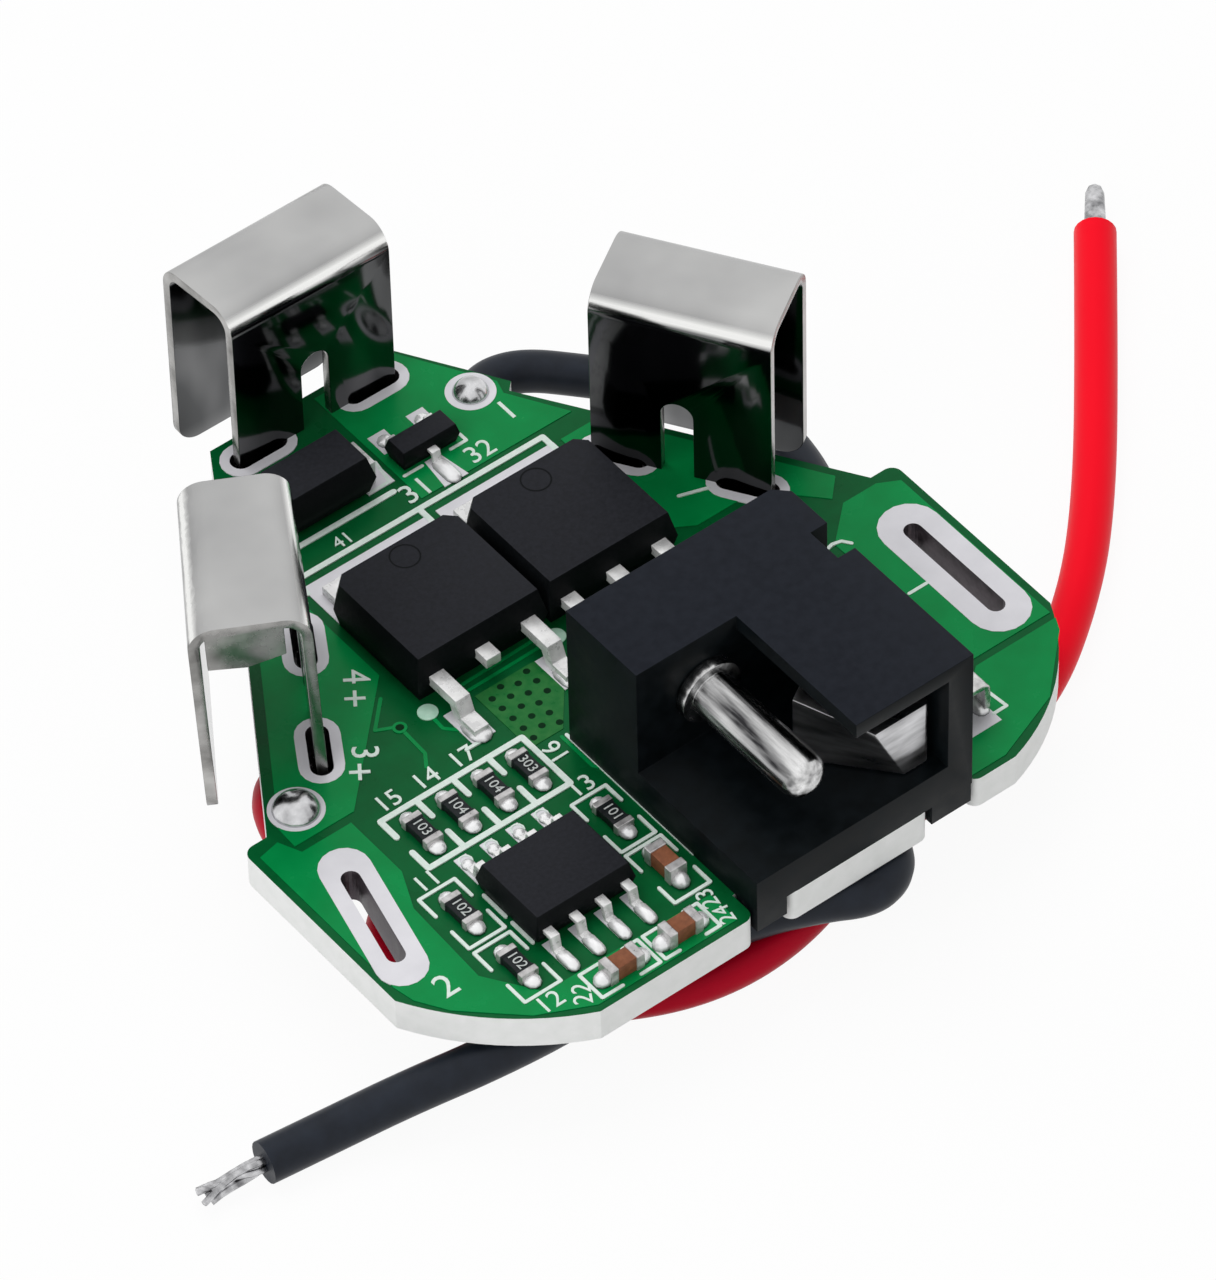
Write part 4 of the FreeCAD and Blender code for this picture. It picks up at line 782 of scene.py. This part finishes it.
def pillows(name, spots, material):
    """Low domes on the board: rings that rise in even steps to a middle point, while their reach shrinks as
    the root of one less the square of the height. A point's crown is its height's share."""
    levels = 6
    shares = np.arange(levels) / levels
    foot = top + fillet_foot
    points = []
    faces = []
    start = 0
    for x, y, long, wide, tall, turn in spots:
        rings = []
        for share in shares:
            reach = (1 - share ** 2) ** 0.5
            ring = stadium(x, y, turn, max(long * reach, wide * reach + 0.001), wide * reach, 6)
            rings.append(raised(ring, foot + tall * share))
        count = len(rings[0])
        points += rings + [raised([(x, y)], foot + tall)]
        tip = start + levels * count
        last = np.arange(tip - count, tip)
        faces += ring_faces(levels, count, start)
        faces += np.stack([last, np.roll(last, -1), np.full(count, tip)], 1).tolist()
        faces.append(list(range(start, start + count)))
        start = tip + 1
    mesh = mesh_of(name, np.concatenate(points), faces)
    mesh.shade_smooth()
    crowned(mesh, np.tile(np.append(np.repeat(shares, count), 1.0), len(spots)))
    place_piece(name, mesh, material)


# A lead's fillet has its shift from the foot, its length, width and height, where the front ones differ
# from the back ones; each fillet has its place, length, width, height and turn
chip_front = (-0.2, 1.25, 0.56, 0.32)
chip_back = (0.1, 0.6, 0.56, 0.24)
small_front = (-0.35, 1.6, 0.7, 0.26)
small_back = (0.0, 0.6, 0.7, 0.26)
power_foot = (0.35, 1.5, 1.0, 0.3)
end_shift = 0.12
end_wide = 0.74
end_climb = 0.62
fillets = []
for x, y, axis, tall, side in chip_ends:
    shift = side * end_shift
    long = 0.85 if side < 0 or not axis else 0.5
    if axis:
        fillets.append((x, y + shift, long, end_wide, tall * end_climb, 90))
    else:
        fillets.append((x + shift, y, long, end_wide, tall * end_climb, 0))


def at_foot(node, front, spread):
    """A fillet along a lead: across the lead's middle, and its shift from the lead's front or back end."""
    low, high = reach_of(node)
    shift, long, wide, tall = spread
    return (low[0] + high[0]) / 2, (low[1] if front else high[1]) + shift, long, wide, tall, 90


for number in range(1, 9):
    front = number <= 4
    fillets.append(at_foot("control_chip_lead_%d" % number, front, chip_front if front else chip_back))
for side in ("left", "right"):
    for lead in ("gate", "source"):
        fillets.append(at_foot("%s_mosfet_%s_lead" % (side, lead), True, power_foot))
for number in (1, 2, 3):
    front = number == 3
    fillets.append(at_foot("transistor_lead_%d" % number, front, small_front if front else small_back))
fillets += [(-1.0, 13.1, 1.7, 0.9, 0.4, 90), (-4.8, 13.1, 1.7, 0.9, 0.4, 90)]
fillets.append((10.6, -12.0, 1.6, 0.7, 0.35, 90))
pillows("fillets", fillets, pad_solder)
solder_names = ["%s_solder_%s" % (clip, side) for clip in ("top_clip", "right_clip", "left_clip")
                for side in ("left", "right")]
solder_names += ["pin_terminal_solder", "side_terminal_solder", "red_wire_joint"]
for joint in solder_names:
    softened(joint, solder, turned_edge)


black_joint = (5.65, 14.0)
dome_keeps = (0.78, 0.78, 0.85)


def narrowed(mesh):
    """Draws the dome in, so that the tinned ring shows round it: what stands on the board keeps a share of
    its distance from the dome's middle, and a share of its height."""
    rows = points_of(mesh)
    middle = np.array([*black_joint, top]) * mm
    on_board = rows[:, 2] > board_top - 0.01 * mm
    rows[on_board] = middle + (rows[on_board] - middle) * dome_keeps
    mesh.vertices.foreach_set("co", rows.ravel())


softened("black_wire_joint", solder, fine_edge, change=narrowed)

# Wires
# Two soft stranded leads in satin insulation, soldered below the board and left bare at their far ends:
# the black one's strands are splayed, the red one's are pressed flat with solder.

wire_wide = 1.8 * mm
under_board = -1.0
on_floor = -2.85
black_points = [
    (6.2657, 14.788, under_board), (7.0353, 15.773, under_board), (8.25, 16.13, under_board),
    (9.65, 15.6, under_board), (11.2, 14.05, -1.1), (13.2, 12.0, -1.3), (15.5, 8.9, -1.5),
    (15.6, 4.4, -1.5), (12.6, -1.6, -1.3), (9.2, -6.6, under_board), (6.3, -10.0, under_board),
    (4.9, -12.4, under_board), (4.72, -14.15, under_board), (3.8, -15.14, under_board),
    (2.55, -15.33, under_board), (0.9, -14.35, under_board), (-1.7, -13.3, under_board),
    (-5.6, -12.6, under_board), (-10.2, -12.9, under_board), (-13.9, -12.5, -1.1),
    (-17.2, -11.25, -2.0), (-20.1, -10.3, on_floor), (-23.1, -9.95, on_floor),
]
red_points = [
    (-13.2764, 1.4348, under_board), (-12.9465, 3.306, under_board), (-10.2, 5.0, -1.9), (-7.4, 2.6, -2.5),
    (-9.4, -1.9, on_floor), (-13.2, -3.9, on_floor), (-13.0, -8.2, on_floor), (-9.0, -11.2, on_floor),
    (-4.4, -13.7, on_floor), (0.6, -13.7, on_floor), (5.4, -11.6, on_floor), (10.4, -11.2, on_floor),
    (15.4, -10.4, on_floor), (20.5, -6.9, on_floor), (24.4, -3.1, on_floor), (29.35, 2.65, on_floor),
    (34.0, 8.25, on_floor),
]


def wire(name, points, material):
    """A soft lead: one spline of the third order drawn to its route's points, round in section, reaching to
    where its bare tip begins."""
    curve = bpy.data.curves.new(name, "CURVE")
    curve.dimensions = "3D"
    curve.bevel_depth = wire_wide / 2
    curve.bevel_resolution = 8
    curve.resolution_u = 12
    curve.use_fill_caps = True
    spline = curve.splines.new("NURBS")
    spline.points.add(len(points) - 1)
    weighted = np.column_stack([np.array(points) * mm, np.ones(len(points))])
    spline.points.foreach_set("co", weighted.ravel().astype(np.float32))
    spline.order_u = 3
    spline.use_endpoint_u = True
    piece = bpy.data.objects.new(name + "_lead", curve)
    bpy.context.scene.collection.objects.link(piece)
    curve.materials.append(material)
    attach(piece, "root")
    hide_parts(name)


def tube(path, radii, sides, start=0, flattened=1.0):
    """A closed tube: each point of the path plus its radius times the cosine of a turn sideways and the
    sine of it, flattened, upwards, square to the way from the point before to the next; flat caps."""
    before = np.concatenate([path[:1], path[:-1]])
    after = np.concatenate([path[1:], path[-1:]])
    way = after - before
    way /= np.linalg.norm(way, axis=1)[:, None]
    side = np.cross(way, (0, 0, 1))
    side /= np.linalg.norm(side, axis=1)[:, None]
    lift = np.cross(side, way)
    turn = np.linspace(0, 2 * math.pi, sides, endpoint=False)[None, :, None]
    spokes = np.cos(turn) * side[:, None, :] + flattened * np.sin(turn) * lift[:, None, :]
    points = path[:, None, :] + np.array(radii)[:, None, None] * spokes
    end = start + len(path) * sides
    faces = ring_faces(len(path), sides, start)
    faces += [list(range(start, start + sides)), list(range(end - sides, end))]
    return points.reshape(-1, 3) * mm, faces


strand_metal = finish("strand_metal", tone(120, 120, 122), tone(220, 220, 222), 2400, (0.2, 0.35),
                      metal=1.0)
strand_radius = 0.14
lay_radius = 0.24
strand_steps = 7
strand_sides = 7
strand_lag = 0.9
strand_twist = 2.6
splay = 1.2
droop = 0.25
sunk_in = 0.3
root = np.array(black_points[-1])
way = root - np.array(black_points[-2])
way /= np.linalg.norm(way)
side = np.array([-way[1], way[0], 0])
share = np.linspace(0, 1, strand_steps)
open_out = share ** 2
points = []
faces = []
# Each strand turns round the middle one as it opens out, and ends so far to the side and up; its length
strand_ends = [(0.0, 0.0, 2.6), (0.34, 0.1, 2.9), (-0.3, -0.1, 2.8), (0.12, 0.2, 2.4), (-0.14, 0.22, 2.9),
               (0.2, -0.25, 2.5), (-0.42, -0.2, 2.7)]
for number, (spread, rise, long) in enumerate(strand_ends):
    lay = number * strand_lag + share * strand_twist
    ring = 0.0 if number == 0 else lay_radius
    sideways = ring * (1 - open_out) * np.cos(lay) + splay * spread * open_out
    height = ring * (1 - open_out) * np.sin(lay) + (rise - droop) * open_out
    forward = (long + sunk_in) * share - sunk_in
    path = root + np.outer(forward, way) + np.outer(sideways, side) + np.outer(height, (0, 0, 1))
    start = number * strand_steps * strand_sides
    more_points, more_faces = tube(path, [strand_radius] * strand_steps, strand_sides, start)
    points.append(more_points)
    faces += more_faces
mesh = mesh_of("black_wire_strands", np.concatenate(points), faces)
mesh.shade_smooth()
black_bare = place_piece("black_wire_strands", mesh, strand_metal, ("black_wire_tip",))
root = np.array(red_points[-1])
way = root - np.array(red_points[-2])
way /= np.linalg.norm(way)
flat_steps = (-0.4, 0.3, 1.0, 1.7, 2.3, 2.65, 2.8)
flat_radii = (0.46, 0.46, 0.44, 0.42, 0.4, 0.28, 0.08)
flat_share = 0.55
points, faces = tube(root + np.outer(flat_steps, way), flat_radii, 12, flattened=flat_share)
mesh = mesh_of("red_wire_flat", points, faces)
mesh.shade_smooth()
red_bare = place_piece("red_wire_flat", mesh, strand_metal, ("red_wire_tip",))
black_sleeve = finish("black_sleeve", tone(26, 30, 38), tone(34, 39, 48), 1200, (0.35, 0.5), gloss=0.2)

# The red insulation is painted deeper in tone near the board, which is painted shade from the board, and
# grows lighter over 10 mm toward its free end
red_sleeve, tree, shader = new_material("red_sleeve")
apart = tree.nodes.new("ShaderNodeSeparateXYZ")
tree.links.new(tree.nodes.new("ShaderNodeTexCoord").outputs["Object"], apart.inputs["Vector"])
outward = tree.nodes.new("ShaderNodeMapRange")
outward.inputs["From Min"].default_value = 9 * mm
outward.inputs["From Max"].default_value = 19 * mm
tree.links.new(apart.outputs["X"], outward.inputs["Value"])
wander = tree.nodes.new("ShaderNodeMath")
wander.operation = "MULTIPLY_ADD"
wander.inputs[1].default_value = 0.12
tree.links.new(mottle(tree, 1200), wander.inputs[0])
tree.links.new(outward.outputs["Result"], wander.inputs[2])
tree.links.new(ramp(tree, wander.outputs[0], [(0.06, tone(196, 0, 38)), (1.0, tone(253, 4, 34))]),
               shader.inputs["Base Color"])
shader.inputs["Roughness"].default_value = 0.4
shader.inputs["Specular IOR Level"].default_value = 0.1
wire("black_wire", black_points, black_sleeve)
wire("red_wire", red_points, red_sleeve)

# Floor, light and camera
# A plain pale floor and a white studio, which mirrors show as the camera does, two soft lamps, and the
# camera at the photograph's angle.


def ray_shows(tree):
    """1 for a ray from the camera, from a mirror or through glass, and 0 for any other."""
    ray = tree.nodes.new("ShaderNodeLightPath")
    shown = ray.outputs["Is Camera Ray"]
    for kind in ("Is Glossy Ray", "Is Transmission Ray"):
        either = tree.nodes.new("ShaderNodeMath")
        either.operation = "MAXIMUM"
        tree.links.new(shown, either.inputs[0])
        tree.links.new(ray.outputs[kind], either.inputs[1])
        shown = either.outputs[0]
    return shown


floor_z = -3.75
floor_half = 1500
floor_corners = np.array([(-1, -1), (1, -1), (1, 1), (-1, 1)]) * floor_half
floor_mesh = mesh_of("floor", raised(floor_corners, floor_z), [(0, 1, 2, 3)])
floor = bpy.data.objects.new("floor", floor_mesh)
bpy.context.scene.collection.objects.link(floor)
floor_white, tree, shader = new_material("floor_white")
shader.inputs["Base Color"].default_value = (0.86, 0.86, 0.86, 1)
shader.inputs["Roughness"].default_value = 0.9
glow = tree.nodes.new("ShaderNodeEmission")
glow.inputs["Strength"].default_value = 1.0
# Of what such a ray sees of the floor, this share is plain white, and the rest keeps the shadow
white_share = 0.94
shadowless = tree.nodes.new("ShaderNodeMath")
shadowless.operation = "MULTIPLY"
shadowless.inputs[1].default_value = white_share
tree.links.new(ray_shows(tree), shadowless.inputs[0])
both = tree.nodes.new("ShaderNodeMixShader")
tree.links.new(shadowless.outputs[0], both.inputs["Fac"])
tree.links.new(shader.outputs["BSDF"], both.inputs[1])
tree.links.new(glow.outputs["Emission"], both.inputs[2])
tree.links.new(both.outputs["Shader"], tree.nodes["Material Output"].inputs["Surface"])
floor_mesh.materials.append(floor_white)

world = bpy.data.worlds.new("studio")
bpy.context.scene.world = world
world.use_nodes = True
tree = world.node_tree
tree.nodes.clear()
soft = tree.nodes.new("ShaderNodeBackground")
soft.inputs["Color"].default_value = (1, 1, 1, 1)
soft.inputs["Strength"].default_value = 0.45
white = tree.nodes.new("ShaderNodeBackground")
white.inputs["Color"].default_value = (1, 1, 1, 1)
white.inputs["Strength"].default_value = 1.0
both = tree.nodes.new("ShaderNodeMixShader")
out = tree.nodes.new("ShaderNodeOutputWorld")
tree.links.new(ray_shows(tree), both.inputs["Fac"])
tree.links.new(soft.outputs["Background"], both.inputs[1])
tree.links.new(white.outputs["Background"], both.inputs[2])
tree.links.new(both.outputs["Shader"], out.inputs["Surface"])


def lamp(name, place, aim, wide, power):
    """A square soft lamp that faces a point, and that no mirror shows."""
    light = bpy.data.lights.new(name, "AREA")
    light.size = wide
    light.energy = power
    thing = bpy.data.objects.new(name, light)
    thing.visible_glossy = False
    bpy.context.scene.collection.objects.link(thing)
    way = Vector(aim) - Vector(place)
    turn = way.to_track_quat("-Z", "Y").to_matrix().to_4x4()
    thing.matrix_world = Matrix.Translation(Vector(place)) @ turn


lamp("overhead_lamp", (0.05, 0.25, 0.55), (0, 0, 0), 0.45, 1.85)
lamp("left_lamp", (-0.45, -0.1, 0.35), (0, 0, 0), 0.35, 0.9)

# The photograph's own camera: its angles, its aim and how far it stands
azimuth = math.radians(-37.1212)
elevation = math.radians(47.6604)
roll = math.radians(-1.548)
aim_point = Vector((1.55, -0.2, 1.6)) * mm
camera_far = 400.685 * mm
back = Vector((math.sin(azimuth) * math.cos(elevation), -math.cos(azimuth) * math.cos(elevation),
               math.sin(elevation)))
right = Vector((math.cos(azimuth), math.sin(azimuth), 0))
up = back.cross(right)
rolled_right = right * math.cos(roll) + up * math.sin(roll)
rolled_up = up * math.cos(roll) - right * math.sin(roll)
camera_data = bpy.data.cameras.new("camera")
camera_data.sensor_fit = "VERTICAL"
camera_data.sensor_height = 36
camera_data.lens = 284.31
camera_data.clip_start = 0.01
camera = bpy.data.objects.new("camera", camera_data)
bpy.context.scene.collection.objects.link(camera)
turned = Matrix((rolled_right, rolled_up, back)).transposed().to_4x4()
camera.matrix_world = Matrix.Translation(aim_point + back * camera_far) @ turned
bpy.context.scene.camera = camera
bpy.context.scene.view_settings.view_transform = "Standard"
